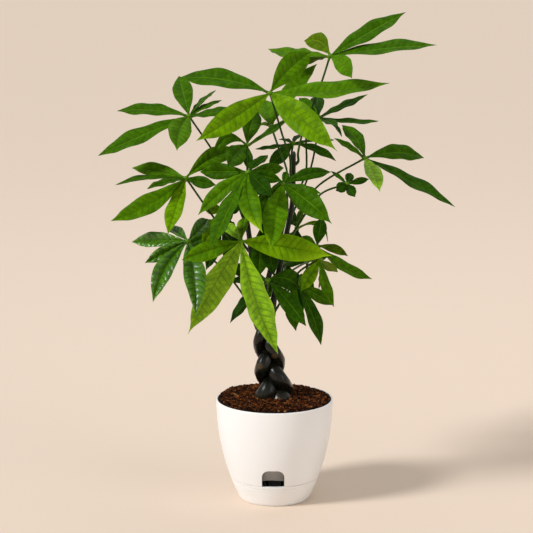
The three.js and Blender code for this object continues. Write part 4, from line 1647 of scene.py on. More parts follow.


# A leaf's tone, and a leaflet's own, is chosen partly as painted light and shade.
LEAVES = (
    Leaf(1, LEFT, 0.62, ((236, 200, -34), (218, 160, -38)), (189, 116, -5), MID, (
        Blade(117, 111, -30, 12, 0.04), Blade(98, 156, 12, 15, 0.02, -1),
        Blade(177, 151, 62, 23, 0.02, 4, FRESH, drawn=0.6), Blade(179, 76, -58, 20), Blade(216, 90, -45, 4),
        Blade(222, 100, -26, 5), Blade(233, 108, 12, 8, 0.02, 2),
    )),
    Leaf(2, RIGHT, 0.86, ((290, 158, -3), (283, 137, 4)), (270, 93, 12), FRESH, (
        Blade(179, 78, -30, 18, 0.04, 2, MID), Blade(196, 141, 45, 24, 0.02, -2, BRIGHT, drawn=0.5),
        Blade(337, 151, 50, 27, tone=BRIGHT, drawn=0.9), Blade(390, 83, 0, 16, 0.02, 5, drawn=0.4),
        Blade(311, 52, -34, 24, 0.02, -3),
    ), LIGHT),
    Leaf(3, RIGHT, 0.93, ((298, 154, -13), (302, 135, -13), (322, 81, -14)), (330, 56, -14), MID, (
        Blade(406, 12, -30, 16, 0.02, 1, drawn=0.4), Blade(437, 45, 6, 12, 0.02, 0.5, drawn=0.4),
        Blade(352, 78, 52, 17, 0.02, -3, FRESH),
        Blade(304, 41, -38, 18, 0.0, 7, OLIVE), Blade(268, 49, -66, 10, 0.02, -4, FRESH),
        Blade(292, 67, -62, 8),
    )),
    Leaf(4, MIDDLE, 0.95, ((287, 172, 0), (279, 149, -22)), (271, 126, -38), OLIVE, (
        Blade(317, 64, -30, 17, 0.02, -3, FRESH), Blade(265, 100, -50, 19, tone=FRESH),
        Blade(257, 124, -30, 4),
    ), LIGHT),
    Leaf(5, RIGHT, 0.63, ((310, 171, -62), (316, 143, -70)), (319, 117, -74), DARK, (
        Blade(368, 94, -25, 7, 0.02, 2, drawn=0.5), Blade(379, 121, 0, 5, 0.0, 3),
        Blade(319, 95, -52, 15, 0.02, -2, DEEP),
        Blade(299, 98, -40, 12, tone=MID), Blade(342, 137, 22, 3, 0.02, -3),
        Blade(338, 126, 42, 7, 0.02, 1),
    )),
    Leaf(6, RIGHT, 0.6, ((316, 188, -14),), (365, 158, -20), MID, (
        Blade(424, 158, -45, 16, 0.08), Blade(455, 207, 16, 11, 0.02, 1, DARK),
        Blade(342, 125, -52, 14, 0.02, 3),
        Blade(334, 138, -14, 6), Blade(380, 192, 58, 15, 0.02, -1, SUNNY, 0.2, 0.6),
    )),
    Leaf(7, RIGHT, 0.53, ((321, 194, 4),), (347, 184, 4), DARK, (
        Blade(351, 173, -20, 9), Blade(369, 179, -4, 7), Blade(355, 197, 20, 10, tone=DEEP),
        Blade(336, 191, 20, 11), Blade(331, 171, -12, 4),
    )),
    Leaf(8, RIGHT, 0.79, ((291, 162, -30),), (293, 143, -48), DARK, (
        Blade(255, 149, 0, 4, 0.02, -2), Blade(279, 139, -30, 3), Blade(268, 166, 30, 14, 0.02, -1),
        Blade(336, 161, 20, 8, 0.02, -2), Blade(335, 140, -10, 3), Blade(301, 134, -35, 5),
    )),
    Leaf(9, MIDDLE, 0.96, (), (283, 184, 40), MID, (
        Blade(331, 172, -25, 12, 0.02, -2, DARK), Blade(322, 194, 4, 6),
        Blade(332, 224, 34, 23, 0.02, -1.5, drawn=0.8),
        Blade(271, 252, 56, 23, 0.02, 2, FRESH, 0.25, 0.7), Blade(258, 202, 6, 8), Blade(287, 171, -24, 7),
        Blade(295, 177, -20, 6),
    ), quilting=0.8),
    Leaf(10, LEFT, 0.9, (), (248, 172, 40), FRESH, (
        Blade(268, 155, -36, 8, tone=DARK), Blade(284, 168, -30, 12, tone=MID),
        Blade(282, 181, 4, 11, tone=DARK),
        Blade(272, 196, 40, 16, tone=DEEP), Blade(263, 233, 54, 20, 0.02, 6, None, 0.45, 0.6),
        Blade(211, 250, 50, 15, tone=MID),
        Blade(198, 215, 0, 15, 0.02, 1.5, drawn=0.4), Blade(200, 172, -30, 16, tone=MID),
    ), LIGHT, 0.9),
    Leaf(11, LEFT, 0.97, (), (247, 145, -6), MID, (
        Blade(258, 111, -40, 18, 0.02, -2), Blade(212, 158, 12, 12, 0.3, 6),
        Blade(228, 168, 50, 20, 0.02, 2),
        Blade(248, 170, 34, 10, tone=DARK), Blade(291, 116, -20, 6, 0.02, 3),
    )),
    Leaf(12, LEFT, 0.45, ((209, 211, 12),), (186, 178, 8), MID, (
        Blade(132, 168, -30, 13, 0.04, 0, FRESH), Blade(115, 185, -10, 5, 0.06, -1), Blade(147, 189, 34, 6),
        Blade(111, 221, 26, 19, 0.02, -6, FRESH, drawn=0.2), Blade(168, 234, 50, 16, tone=BRIGHT),
        Blade(216, 185, 24, 12, 0.02, 1, DARK),
        Blade(240, 150, -44, 18, 0.02, -5, FRESH),
    ), quilting=0.8),
    Leaf(13, LEFT, 0.12, ((222, 268, 24),), (188, 241, 36), GLOSSY, (
        Blade(132, 242, -26, 15), Blade(145, 263, 10, 13), Blade(153, 302, 36, 18, 0.02, 5, drawn=0.2),
        Blade(196, 317, 60, 21, 0.05, drawn=0.7), Blade(208, 219, -40, 14), Blade(168, 227, -40, 10),
    ), quilting=1.6),
    Leaf(14, MIDDLE, 0.14, ((252, 272, 44),), (241, 241, 72), SUNNY, (
        Blade(182, 260, 6, 18, tone=FRESH), Blade(188, 334, -26, 26, 0.0, 1.5, drawn=0.9),
        Blade(278, 354, 36, 24, 0.02, 6, drawn=0.3),
        Blade(332, 256, -14, 25, 0.02, 0, BRIGHT, 0.6, 0.7), Blade(224, 223, -40, 11),
        Blade(245, 216, -45, 11, tone=BRIGHT),
    ), LIGHT, 1.0),
    Leaf(15, RIGHT, 0.34, ((298, 256, -20),), (317, 246, -36), MID, (
        Blade(322, 217, -8, 14, tone=DARK), Blade(302, 236, -8, 8), Blade(348, 256, 20, 9, 0.02, -2, OLIVE),
        Blade(372, 279, -10, 11, 0.0, 4.5, FRESH),
    )),
    Leaf(16, RIGHT, 0.5, ((292, 236, -30),), (297, 228, -56), DEEP, (
        Blade(328, 243, -4, 6, 0.3, -3, OLIVE), Blade(302, 262, 4, 12), Blade(302, 208, -14, 7, tone=OLIVE),
        Blade(286, 208, -30, 12), Blade(280, 262, 26, 14),
    )),
    Leaf(17, RIGHT, 0.18, ((300, 271, 8),), (320, 259, 10), OLIVE, (
        Blade(301, 291, 24, 14, tone=BRIGHT), Blade(334, 307, 12, 10, 0.02, 3, FRESH),
        Blade(338, 272, -30, 9, 0.02, 2), Blade(308, 262, -38, 6), Blade(319, 289, -20, 4),
    ), LIGHT),
    Leaf(18, RIGHT, 0.08, ((287, 292, -18),), (297, 284, -26), MID, (
        Blade(321, 345, 8, 14, 0.02, -2, DARK), Blade(296, 331, 28, 15, 0.02, 4), Blade(333, 305, -20, 13),
        Blade(306, 275, -32, 9),
    )),
    Leaf(19, MIDDLE, 0.06, ((268, 290, 22),), (268, 280, 32), DEEP, (
        Blade(306, 326, 24, 17, 0.02, -1, DARK), Blade(299, 289, -12, 20, 0.1, -4, DARK),
        Blade(230, 323, 10, 10, 0.02, 1),
        Blade(229, 279, -34, 8, 0.02, -2), Blade(228, 266, -36, 14),
    )),
    Leaf(20, MIDDLE, 0.62, ((268, 216, -46),), (264, 198, -98), DEEP, (
        Blade(240, 214, -10, 12), Blade(240, 176, -40, 12), Blade(266, 172, -56, 14),
        Blade(294, 180, -30, 11), Blade(281, 224, 8, 12), Blade(273, 242, 20, 14),
    )),
    Leaf(21, LEFT, 0.3, ((238, 246, -36),), (222, 232, -66), DEEP, (
        Blade(186, 246, -8, 12), Blade(204, 222, -40, 12), Blade(229, 206, -52, 14),
        Blade(234, 222, -40, 10), Blade(206, 270, 18, 12), Blade(236, 268, 0, 16),
    )),
    Leaf(22, RIGHT, 0.26, ((296, 268, -46),), (307, 262, -92), DEEP, (
        Blade(266, 264, -10, 13), Blade(276, 238, -46, 12), Blade(328, 254, -34, 10),
        Blade(309, 304, 14, 11),
    )),
    Leaf(23, RIGHT, 0.72, ((306, 171, -54), (306, 139, -62)), (306, 122, -60), DEEP, (
        Blade(301, 106, -6, 9), Blade(313, 107, -10, 10), Blade(318, 130, 10, 8), Blade(292, 128, 10, 8),
    )),
    Leaf(24, MIDDLE, 0.5, (), (263, 222, 34), DEEP, (
        Blade(240, 208, -16, 14), Blade(258, 278, 4, 18, tone=DARK), Blade(274, 276, 8, 16),
        Blade(294, 256, -4, 13), Blade(263, 191, -24, 12, tone=MID),
    )),
    Leaf(25, RIGHT, 0.14, ((284, 276, -30),), (285, 264, -54), DEEP, (
        Blade(303, 316, 16, 12), Blade(266, 300, -4, 12), Blade(311, 300, -8, 13), Blade(262, 262, -24, 13),
    )),
    Leaf(26, LEFT, 0.5, (), (224, 210, -22), DEEP, (
        Blade(204, 208, -14, 12, tone=BRIGHT), Blade(202, 246, 10, 14, tone=BRIGHT),
        Blade(236, 256, 12, 14), Blade(241, 206, 10, 13),
    )),
)


@dataclass
class LeafletForm:
    """The lie and the relief of one leaflet, from its hub to its tip.

    The spans are places along or across the blade where a change starts and where it is full. In the first
    four, the plain blade's value comes first, and then what a drawn out tip adds to it.
    """

    hub: Array
    tip: Array
    blade: Blade
    quilting: float
    seed: int
    widest: Span = (0.6, -0.13)
    opening: Span = (1.25, -0.4)
    closing: Span = (0.85, 0.35)
    tail: Span = (0.22, 0.3)
    tail_place: Span = (0.82, 0.97)
    neck: float = 1.0
    neck_place: Span = (0.5, 0.1)
    narrowest: float = 0.2
    slenderness: float = 0.26
    facing: float = 0.4
    sunk: float = 1.5
    fold: float = 0.21
    quilted_fold: float = 0.12
    steep_quilting: float = 1.1
    steep_fold: float = 0.3
    waves: Span = (2.2, 3.6)
    twist: float = 0.12
    twist_middle: float = 0.45
    fewest_veins: int = 6
    vein_spacing: float = 6.6
    vein_slope: float = 0.5
    vein_bow: float = 0.012
    vein_shift: float = 0.35
    vein_root: Span = (0.0, 0.12)
    puff: float = 0.115
    puff_roundness: float = 0.8
    puff_inside: Span = (0.0, 0.4)
    puff_outside: Span = (0.7, 1.0)
    wave: float = 0.09
    wave_growth: float = 2.2
    droop: float = -0.10
    droop_place: Span = (0.55, 1.0)
    relief_gain: float = 1.5
    midrib_groove: float = -0.35
    groove_width: float = 0.9
    groove_gain: float = 3.0
    thickness: float = 0.42
    thin_margin: float = 0.4
    thin_tip: Spot = (1.02, 12.0, 0.3)
    rows_per_vein: int = 7
    rows: tuple[int, int] = (36, 116)
    columns: tuple[int, int] = (13, 17)
    broad: float = 15.0
    rib_rows: int = 26
    rib_end: float = 0.97
    rib_sides: int = 8
    rib_radii: Spot = (0.28, 0.42, 0.75)
    rib_taper: float = 1.5
    rib_foot: float = 4.5
    rib_drop: float = 0.75
    rib_green: float = 0.75

    def __post_init__(self) -> None:
        """Works out the leaflet's own axes and its random traits."""
        chord = self.tip - self.hub
        self.length = float(np.linalg.norm(chord))
        self.along = chord / self.length
        to_eye = unit(np.array(SIGHT.eye) - self.hub)
        side = unit(np.cross(self.along, to_eye))
        front = np.cross(side, self.along)
        self.width = max(self.blade.width, self.slenderness * self.length)
        roll = math.acos(min(1.0, self.blade.width / self.width))
        choices = [front * math.cos(a) + side * math.sin(a) for a in (roll, -roll)]
        upper = max(choices, key=lambda normal: abs(normal[2]))
        outlook = upper.dot(to_eye) if abs(upper[2]) < self.facing else upper[2]
        self.upper = upper * (1.0 if outlook >= 0 else -1.0)
        self.across = np.cross(self.along, self.upper)
        skyward = np.array([0.0, 0.0, 1.0]) - self.along * self.along[2]
        self.bend = unit(self.upper + skyward) * self.blade.arch * self.length + side * self.blade.sway
        rng = np.random.default_rng(self.seed)
        self.tint = rng.uniform(0.0, 1.0)
        self.phases = rng.uniform(0.0, TURN, 2)
        self.wave_count = rng.uniform(*self.waves)
        self.turning = rng.uniform(-self.twist, self.twist)
        self.veins = max(self.fewest_veins, round(self.length / self.vein_spacing))
        steep = self.steep_fold * max(0.0, self.quilting - self.steep_quilting)
        self.slope = self.fold + self.quilted_fold * self.quilting + steep

    def half_width(self, share: Array) -> Array:
        """Works out half the blade's width, which is narrow at the neck and pointed at the tip.

        Args:
            share: Shares of the length.

        Returns:
            The half width at each, in mm.
        """
        pairs = (self.widest, self.opening, self.closing, self.tail)
        widest, opening, closing, tail = (plain + change * self.blade.drawn for plain, change in pairs)
        opened = np.sin(math.pi / 2 * np.clip(share / widest, 0, 1)) ** opening
        closed = np.cos(math.pi / 2 * np.clip((share - widest) / (1 - widest), 0, 1)) ** closing
        drawn_in = 1 - tail * smooth(*self.tail_place, share)
        spread = opened * closed * drawn_in * self.width / 2
        return np.maximum(spread, self.neck * smooth(*self.neck_place, share) + self.narrowest)

    def midrib(self, share: Array) -> Array:
        """Returns the points of the midrib at shares of the length."""
        out = np.maximum(share * self.length, self.sunk)
        rise = 4 * share * (1 - share)
        return self.hub + out[..., None] * self.along + rise[..., None] * self.bend

    def vein_phase(self, share: Array, across: Array) -> Array:
        """Counts the side veins up to a place on the blade.

        Args:
            share: Share of the length.
            across: Place across, from -1 to 1.

        Returns:
            The count, a whole number on each vein.
        """
        out = np.abs(across)
        slant = out * self.half_width(share) / self.length * self.vein_slope + self.vein_bow * out**2
        shift = np.where(across > 0, self.vein_shift, 0.0) * smooth(*self.vein_root, out)
        return (share - slant) * self.veins + shift

    def relief(self, share: Array, across: Array) -> Array:
        """Works out how far the blade stands off its plain folded form.

        Args:
            share: Share of the length.
            across: Place across, from -1 to 1.

        Returns:
            The height, in mm.
        """
        out = np.abs(across)
        half = self.half_width(share)
        size = half / (self.width / 2)
        spacing = self.length / self.veins
        quilt = np.abs(np.sin(math.pi * self.vein_phase(share, across))) ** self.puff_roundness
        inside, outside = smooth(*self.puff_inside, out), 1 - smooth(*self.puff_outside, out)
        puffed = self.quilting * self.puff * spacing * quilt * inside * outside
        phase = np.where(across > 0, self.phases[0], self.phases[1])
        wavy = self.wave * half * out**self.wave_growth * np.sin(TURN * self.wave_count * share + phase)
        droop = self.droop * half * smooth(*self.droop_place, out)
        groove = self.midrib_groove * bell(out * half, self.groove_width)
        relief = (puffed + wavy + droop) * np.clip(size * self.relief_gain, 0, 1)
        return relief + groove * np.clip(size * self.groove_gain, 0, 1)

    def surface(self, share: Array, across: Array) -> Array:
        """Works out points of the blade.

        Args:
            share: Share of the length.
            across: Place across, from -1 to 1.

        Returns:
            The points, in mm.
        """
        lean = self.turning * (share - self.twist_middle)
        level = across * self.half_width(share)
        rise = np.abs(level) * self.slope + self.relief(share, across)
        side = level * np.cos(lean) - rise * np.sin(lean)
        lift = level * np.sin(lean) + rise * np.cos(lean)
        return self.midrib(share) + side[..., None] * self.across + lift[..., None] * self.upper

    def add_to(self, sketch: Sketch, finish: int) -> None:
        """Adds the blade and its midrib to a mesh.

        Args:
            sketch: The mesh.
            finish: Number of the blade's finish.
        """
        rows = int(np.clip(self.veins * self.rows_per_vein, *self.rows))
        columns = self.columns[1] if self.width > self.broad else self.columns[0]
        places = np.linspace(0.0, 1.0, rows), np.linspace(-1.0, 1.0, columns)
        share, across = np.meshgrid(*places, indexing="ij")
        middle = self.surface(share, across)
        end, steepness, thinnest = self.thin_tip
        thinner = (1 - self.thin_margin * np.abs(across)) * np.clip((end - share) * steepness, thinnest, 1.0)
        half = (self.thickness / 2 * thinner)[..., None] * self.upper
        count = rows * columns
        loop = np.concatenate([
            np.arange(columns),
            np.arange(2, rows + 1) * columns - 1,
            (rows - 1) * columns + np.arange(columns - 2, -1, -1),
            np.arange(rows - 2, 0, -1) * columns,
        ])
        after = np.roll(loop, -1)
        edge = np.column_stack([loop, loop + count, after + count, after])
        quads = grid_faces(rows, columns)
        faces = np.vstack([quads, quads[:, ::-1] + count, edge])
        place = np.column_stack([across.ravel(), self.vein_phase(share, across).ravel(), share.ravel()])
        side = np.repeat([1.0, 0.0], count)
        mark = np.column_stack([side, np.full(2 * count, self.tint), np.full(2 * count, self.blade.ageing)])
        points = np.vstack([(middle + half).reshape(-1, 3), (middle - half).reshape(-1, 3)])
        sketch.add(points, faces, finish, leaf_place=np.vstack([place, place]), leaf_mark=mark)
        self._add_rib(sketch)

    def _add_rib(self, sketch: Sketch) -> None:
        """Adds the raised midrib under the blade, which thickens into the leaflet's short stalk.

        Args:
            sketch: The mesh.
        """
        share = np.linspace(0.0, self.rib_end, self.rib_rows)
        travel = share * self.length
        thin, taper, foot = self.rib_radii
        radii = thin + taper * (1 - share) ** self.rib_taper + foot * bell(travel, self.rib_foot)
        line = self.surface(share, np.zeros_like(share)) - self.upper * (radii * self.rib_drop)[:, None]
        rings, _, turn = tube(line, radii, self.rib_sides)
        sketch.add(*capped(rings), bark_place=bark_marks(turn, travel, self.rib_green))


@dataclass
class Foliage:
    """All the leaves, each one piece. A swelling or a lump is given by its height and size."""

    palette: Palette
    plait: Plait
    stalk_radius: float = 1.5
    stalk_tip_radius: float = 1.0
    stalk_taper: float = 9.0
    stalk_sides: int = 12
    stalk_step: float = 1.6
    fewest_rings: int = 14
    foot_swelling: Span = (0.55, 3.2)
    top_swelling: Span = (0.5, 4.0)
    stalk_lumps: Span = (0.07, 2.6)
    climb: float = 0.55
    root_depth: float = 1.6
    stalk_green: float = 0.9
    stalk_greening: Span = (8.0, 0.0)
    hub_radius: float = 2.7
    hub_height: float = 0.8
    hub_lumps: Span = (0.12, 2.2)
    hub_grain: float = 3.0
    hub_green: float = 0.95
    hub_detail: int = 3
    seed_step: int = 31
    crease: float = 62.0

    def build(self) -> None:
        """Builds all the leaves."""
        for leaf in LEAVES:
            self._leaf(leaf)

    def _leaf(self, leaf: Leaf) -> None:
        """Builds one leaf, with the stalk's finish as its first and a finish for each of its greens.

        Args:
            leaf: The leaf.
        """
        hub = SIGHT.seen(leaf.hub)
        tones = sorted({blade.tone or leaf.tone for blade in leaf.blades}, key=list(LeafTone).index)
        sketch = Sketch()
        self._add_stalk(sketch, leaf, hub)
        self._add_hub(sketch, leaf, hub)
        for i, blade in enumerate(leaf.blades):
            tip = SIGHT.seen((blade.across, blade.down, leaf.hub[2] + blade.nearer))
            form = LeafletForm(hub, tip, blade, leaf.quilting, seed=leaf.number * self.seed_step + i)
            form.add_to(sketch, 1 + tones.index(blade.tone or leaf.tone))
        materials = [self.palette.stalk, *[self.palette.leaves[tone] for tone in tones]]
        piece = sketch.build(f"palm_leaf_{leaf.number:02d}", materials, self.crease)
        declare(piece, f"leaf_{leaf.number:02d}")

    def _add_stalk(self, sketch: Sketch, leaf: Leaf, hub: Array) -> None:
        """Adds the stalk, which grows out of the bark and swells at both ends.

        Args:
            sketch: The mesh.
            leaf: The leaf.
            hub: The middle of its hub.
        """
        curve = self.plait.stems[leaf.trunk]
        root, rising = curve.at(leaf.at), curve.heading(leaf.at)
        points = [*[SIGHT.seen(spot) for spot in leaf.route], hub]
        outward = points[0] - root
        outward = unit(outward - outward.dot(rising) * rising)
        start = unit(outward + self.climb * rising)
        bark = float(self.plait.stem_radius(leaf.at))
        foot = root + outward * (bark + GAP + self.stalk_radius * math.sqrt(1 - start.dot(outward) ** 2))
        line = Route([foot, foot + start * 2 * self.stalk_radius, *points])
        shares = np.linspace(0.0, 1.0, max(self.fewest_rings, int(line.length / self.stalk_step)))
        path = np.vstack([foot - start * self.root_depth, line.at(shares)])
        travel = np.concatenate([[0.0], shares * line.length + self.root_depth])
        left = travel[-1] - travel
        radii = between(self.stalk_tip_radius, self.stalk_radius, np.exp(-travel / self.stalk_taper))
        for (swelling, length), away in ((self.foot_swelling, travel), (self.top_swelling, left)):
            radii = radii + swelling * bell(away, length)
        rings, outwards, turn = tube(path, radii, self.stalk_sides)
        height, size = self.stalk_lumps
        relief = height * lumps(rings, size, leaf.number)
        points, faces = capped(rings + outwards * relief[:, :, None])
        green = smooth(*self.stalk_greening, left) * self.stalk_green
        sketch.add(points, faces, bark_place=bark_marks(turn, travel, green))

    def _add_hub(self, sketch: Sketch, leaf: Leaf, hub: Array) -> None:
        """Adds the small swollen hub that the leaflets meet in.

        Args:
            sketch: The mesh.
            leaf: The leaf.
            hub: Its middle.
        """
        flat, faces = ball(self.hub_detail)
        height, size = self.hub_lumps
        radius = self.hub_radius * (1 + height * lumps(flat * self.hub_grain, size, leaf.number))
        points = hub + flat * radius[:, None] * np.array([1.0, 1.0, self.hub_height])
        green = np.full(len(flat), self.hub_green)
        mark = np.column_stack([flat[:, 0], flat[:, 2] * self.hub_grain, green])
        sketch.add(points, faces, bark_place=mark)


# ---- soil


@dataclass
class Soil:
    """The coir soil: a heap, with crumbs, chips and fibres lying on it.

    A pair of numbers is the least and the most of a random draw, in mm, radians or shares. For crumb_size it
    is the least and what comes on top, and for a place it is where a change starts and where it is full.
    """

    palette: Palette
    pot: Pot
    cup: SoilCup
    plait: Plait
    edge_height: float = 101.9
    settled: float = 0.4
    crown: float = 3.2
    drift: float = 1.9
    drift_turn: float = 2.5
    drift_width: float = 0.45
    drift_place: Span = (0.6, 0.9)
    mound: float = 1.2
    mound_width: float = 15.0
    clods: tuple[Spot, ...] = ((1.3, 8.0, 1), (1.3, 4.2, 2), (0.5, 1.6, 3))
    level_place: Span = (47.0, 54.0)
    level_share: float = 0.55
    segments: int = 150
    rings: int = 46
    wall_rings: int = 9
    wall_margin: float = 2.0
    axis_radius: float = 0.01
    trunk_overlap: float = 0.6
    heap_brown: float = 0.25
    # Share of painted shade on the bare heap, between and under the crumbs.
    heap_hollow: float = 0.6
    crumbs: int = 5200
    crumb_detail: int = 1
    crumb_margin: float = 1.0
    crumb_size: Span = (0.45, 1.45)
    crumb_rareness: float = 3.0
    crumb_width: Span = (0.6, 1.0)
    crumb_height: Span = (0.45, 0.9)
    crumb_lumps: Span = (0.72, 1.2)
    crumb_tip: float = 0.5
    crumb_lift: float = 0.15
    # Painted shade on crumbs in the heap's low places: its level, how fast it grows with depth, and its most.
    dark_hollow: Spot = (0.45, 0.5, 0.9)
    dark_bias: float = 1.2
    brownest: float = 0.9
    pale_chance: float = 0.955
    pale: float = 0.25
    fibres: int = 900
    fibre_rings: int = 6
    fibre_sides: int = 4
    fibre_margin: float = 5.0
    fibre_length: Span = (2.0, 7.5)
    fibre_bow: Span = (-0.9, 0.9)
    fibre_height: float = 0.9
    fibre_lift: Span = (0.0, 0.5)
    fibre_slope: Span = (-0.8, 1.1)
    fibre_sag: float = 2.0
    fibre_taper: float = 1.6
    fibre_radius: Span = (0.10, 0.24)
    fibre_brown: Span = (0.45, 0.9)
    crease: float = 38.0
    seed: int = 21

    def __post_init__(self) -> None:
        """Starts the mesh and the random numbers."""
        self.sketch = Sketch()
        self.rng = np.random.default_rng(self.seed)

    def top(self, x: Array, y: Array) -> Array:
        """Works out the height of the heap.

        Args:
            x: Places across, in mm.
            y: Places front to back, in mm.

        Returns:
            The height at each place.
        """
        out = np.hypot(x, y)
        share = np.clip(out / self.pot.inner_radius(self.edge_height), 0.0, 1.0)
        level = self.edge_height + self.crown * (1 - share**4)
        bearing = np.arctan2(y, x) - self.drift_turn
        drift = self.drift * bell(bearing, self.drift_width) * smooth(*self.drift_place, share)
        return level + drift + self.mound * bell(out, self.mound_width) + self.rough(x, y) - self.settled

    def rough(self, x: Array, y: Array) -> Array:
        """Returns how far each place stands off the plain heap, for places across and front to back."""
        spots = np.column_stack([x, y, np.zeros_like(x)])
        clods = sum(height * lumps(spots, size, seed) for height, size, seed in self.clods)
        return clods * (1 - self.level_share * smooth(*self.level_place, np.hypot(x, y)))

    def build(self) -> None:
        """Builds the soil."""
        self._add_heap()
        self._add_crumbs()
        self._add_fibres()
        declare(self.sketch.build("coir_heap", [self.palette.soil], self.crease), "soil")

    def _add_heap(self) -> None:
        """Adds the body of the soil, from the hollow foot of the cup up to the rough top."""
        cup, pot = self.cup, self.pot
        low = pot.ledge_height + cup.flange + 2 * GAP
        foot = pot.floor + cup.wall + 2 * GAP
        floor = cup.floor_height + cup.wall + GAP
        wall = np.linspace(low, self.edge_height - self.wall_margin, self.wall_rings)
        sides = [
            (self.axis_radius, foot),
            (cup.foot_radius - cup.wall - GAP, foot),
            (cup.foot_top_radius - cup.wall - GAP, floor),
            (cup.floor_radius - cup.wall / 2 - GAP, floor),
            (cup.neck_radius() - cup.wall - GAP, low),
            *[(pot.inner_radius(z) - GAP, z) for z in wall],
        ]
        outer = pot.inner_radius(self.edge_height) - GAP
        radii = np.concatenate([[p[0] for p in sides], np.linspace(outer, self.axis_radius, self.rings)])
        turn = around(self.segments)
        x, y = radii[:, None] * np.cos(turn), radii[:, None] * np.sin(turn)
        count = len(sides)
        height = np.empty_like(x)
        height[:count] = np.array([p[1] for p in sides])[:, None]
        height[count:] = self.top(x[count:].ravel(), y[count:].ravel()).reshape(self.rings, -1)
        points, faces = capped(np.stack([x, y, height], axis=-1))
        # The heap's brown and its share of painted shade.
        mark = np.tile([self.heap_brown, self.heap_hollow, 0.0], (len(points), 1))
        self.sketch.add(points, faces, crumb=mark)

    def _spots(self, count: int, edge: float) -> Array:
        """Scatters places on the heap, clear of the trunks.

        Args:
            count: How many to try.
            edge: Distance kept from the wall, in mm.

        Returns:
            Two numbers per place, in mm.
        """
        reach = self.pot.inner_radius(self.edge_height) - edge
        radius = reach * np.sqrt(self.rng.uniform(0.0, 1.0, count))
        turn = self.rng.uniform(0.0, TURN, count)
        spots = np.column_stack([radius * np.cos(turn), radius * np.sin(turn)])
        clearance = self.plait.foot_radius - self.trunk_overlap
        keep = np.ones(count, dtype=bool)
        for stem in STEMS:
            middle = self.plait.line(np.array([self.plait.soil_height]), stem.phase_height)[0, :2]
            keep &= np.linalg.norm(spots - middle, axis=1) > clearance
        return spots[keep]

    def _add_crumbs(self) -> None:
        """Adds crumbs and chips, each with its own shape and brown, and painted shade on those in the heap's
        low places.
        """
        rng = self.rng
        shape, faces = ball(self.crumb_detail)
        spots = self._spots(self.crumbs, self.crumb_margin)
        heights = self.top(spots[:, 0], spots[:, 1])
        # Painted shade grows where the heap lies lower.
        level, steepness, darkest = self.dark_hollow
        pit_shades = np.clip(level - steepness * self.rough(spots[:, 0], spots[:, 1]), 0.0, darkest)
        least, extra = self.crumb_size
        points, corners, marks = [], [], []
        for i, (spot, height) in enumerate(zip(spots, heights)):
            size = least + extra * rng.uniform() ** self.crumb_rareness
            stretch = np.array([1.0, rng.uniform(*self.crumb_width), rng.uniform(*self.crumb_height)]) * size
            body = shape * rng.uniform(*self.crumb_lumps, (len(shape), 1)) * stretch
            turn, tip = rng.uniform(0.0, TURN, 2)
            body = body @ self._tipped(turn, self.crumb_tip * math.sin(tip)).T
            points.append(body + np.array([*spot, height + self.crumb_lift * size]))
            corners.append(faces + i * len(shape))
            brown = rng.uniform() ** self.dark_bias * self.brownest
            brown += self.pale if rng.uniform() > self.pale_chance else 0.0
            marks.append(np.tile([min(brown, 1.0), pit_shades[i], 0.0], (len(shape), 1)))
        self.sketch.add(np.vstack(points), np.vstack(corners), crumb=np.vstack(marks))

    @staticmethod
    def _tipped(turn: float, tip: float) -> Array:
        """Returns the matrix that turns a crumb about the vertical after tipping it."""
        cos, sin = math.cos(tip), math.sin(tip)
        return spin(turn) @ np.array([[1, 0, 0], [0, cos, -sin], [0, sin, cos]])

    def _add_fibres(self) -> None:
        """Adds thin curved fibres that lie on the crumbs."""
        rng = self.rng
        t = np.linspace(-0.5, 0.5, self.fibre_rings)
        for x, y in self._spots(self.fibres, self.fibre_margin):
            length = rng.uniform(*self.fibre_length)
            heading, bow = rng.uniform(0.0, TURN), rng.uniform(*self.fibre_bow)
            angle = heading + bow * t * 2
            rise = self.fibre_height + rng.uniform(*self.fibre_lift) + rng.uniform(*self.fibre_slope) * t
            z = self.top(np.array([x]), np.array([y]))[0] + rise - self.fibre_sag * t**2
            line = np.column_stack([x + length * t * np.cos(angle), y + length * t * np.sin(angle), z])
            radii = rng.uniform(*self.fibre_radius) * (1.0 - self.fibre_taper * t**2)
            points, faces = capped(tube(line, radii, self.fibre_sides)[0])
            brown = rng.uniform(*self.fibre_brown)
            self.sketch.add(points, faces, crumb=np.tile([brown, 0.0, 0.0], (len(points), 1)))


# ---- studio


class LampKind(Enum):
    """A square panel near the plant, or broad daylight that is even all over the floor."""

    PANEL = "AREA"
    DAYLIGHT = "SUN"


@dataclass(frozen=True)
class Lamp:
    """A soft light, aimed at a height on the pot's axis.

    A panel's size is its side in metres, and daylight's is how wide it looks in degrees.
    """

    name: str
    kind: LampKind
    place: Spot
    aim: float
    size: float
    power: float
    colour: Colour

    def build(self) -> None:
        """Places the light and aims it."""
        data = bpy.data.lights.new(self.name, self.kind.value)
        if self.kind is LampKind.PANEL:
            data.shape = "SQUARE"
            data.size = self.size
        else:
            data.angle = math.radians(self.size)
        data.energy = self.power
        data.color = self.colour
        lamp = placed(self.name, data)
        lamp.location = self.place
        heading = Vector((0.0, 0.0, self.aim)) - Vector(self.place)
        lamp.rotation_euler = heading.to_track_quat("-Z", "Y").to_euler()


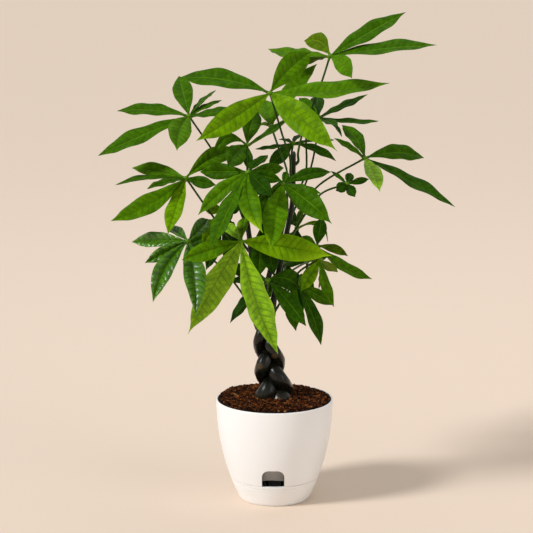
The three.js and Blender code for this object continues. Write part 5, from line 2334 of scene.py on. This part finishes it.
@dataclass
class Studio:
    """The plain pale floor, the soft lights and the pale surroundings."""

    floor_size: float = 60.0
    floor_colour: Colour = (0.79, 0.65, 0.53)
    floor_roughness: float = 0.75
    floor_specular: float = 0.2
    surround_colour: Colour = (1.0, 0.985, 0.97)
    surround_strength: float = 0.46
    lamps: tuple[Lamp, ...] = (
        Lamp("key_light", LampKind.DAYLIGHT, (-2.1, -1.1, 1.9), 0.2, 14.0, 2.6, (0.985, 0.99, 1.0)),
        Lamp("fill_light", LampKind.DAYLIGHT, (1.7, -1.1, 0.8), 0.15, 36.0, 0.52, (1.0, 0.985, 0.975)),
        Lamp("top_light", LampKind.PANEL, (0.25, 0.55, 1.9), 0.25, 1.2, 5.0, (1.0, 0.99, 0.97)),
    )

    def build(self) -> None:
        """Builds the floor, the lights and the surroundings, and sets how colours are shown."""
        half = self.floor_size / 2
        mesh = bpy.data.meshes.new("studio_floor")
        corners = [(-half, -half, 0), (half, -half, 0), (half, half, 0), (-half, half, 0)]
        mesh.from_pydata(corners, [], [(0, 1, 2, 3)])
        plain = {
            "Base Color": self.floor_colour,
            "Roughness": self.floor_roughness,
            "Specular IOR Level": self.floor_specular,
        }
        mesh.materials.append(blank_material("studio_floor", plain)[0])
        placed("studio_floor", mesh)
        for lamp in self.lamps:
            lamp.build()
        world = bpy.data.worlds.new("studio_air")
        world.use_nodes = True
        sky = world.node_tree.nodes["Background"]
        sky.inputs["Color"].default_value = (*self.surround_colour, 1.0)
        sky.inputs["Strength"].default_value = self.surround_strength
        bpy.context.scene.world = world
        bpy.context.scene.view_settings.view_transform = "Standard"


def main() -> None:
    """Builds the potted plant piece by piece, then the studio round it."""
    logging.basicConfig(level=logging.INFO, format="%(name)s %(message)s")
    SIGHT.camera()
    palette = Palette()
    pot = Pot(palette)
    pot.shell()
    pot.base()
    cup = SoilCup(palette, pot)
    cup.build()
    plait = Plait(palette, pot)
    plait.build()
    Soil(palette, pot, cup, plait).build()
    Foliage(palette, plait).build()
    Studio().build()
    bpy.context.view_layer.update()


if __name__ == "__main__":
    main()
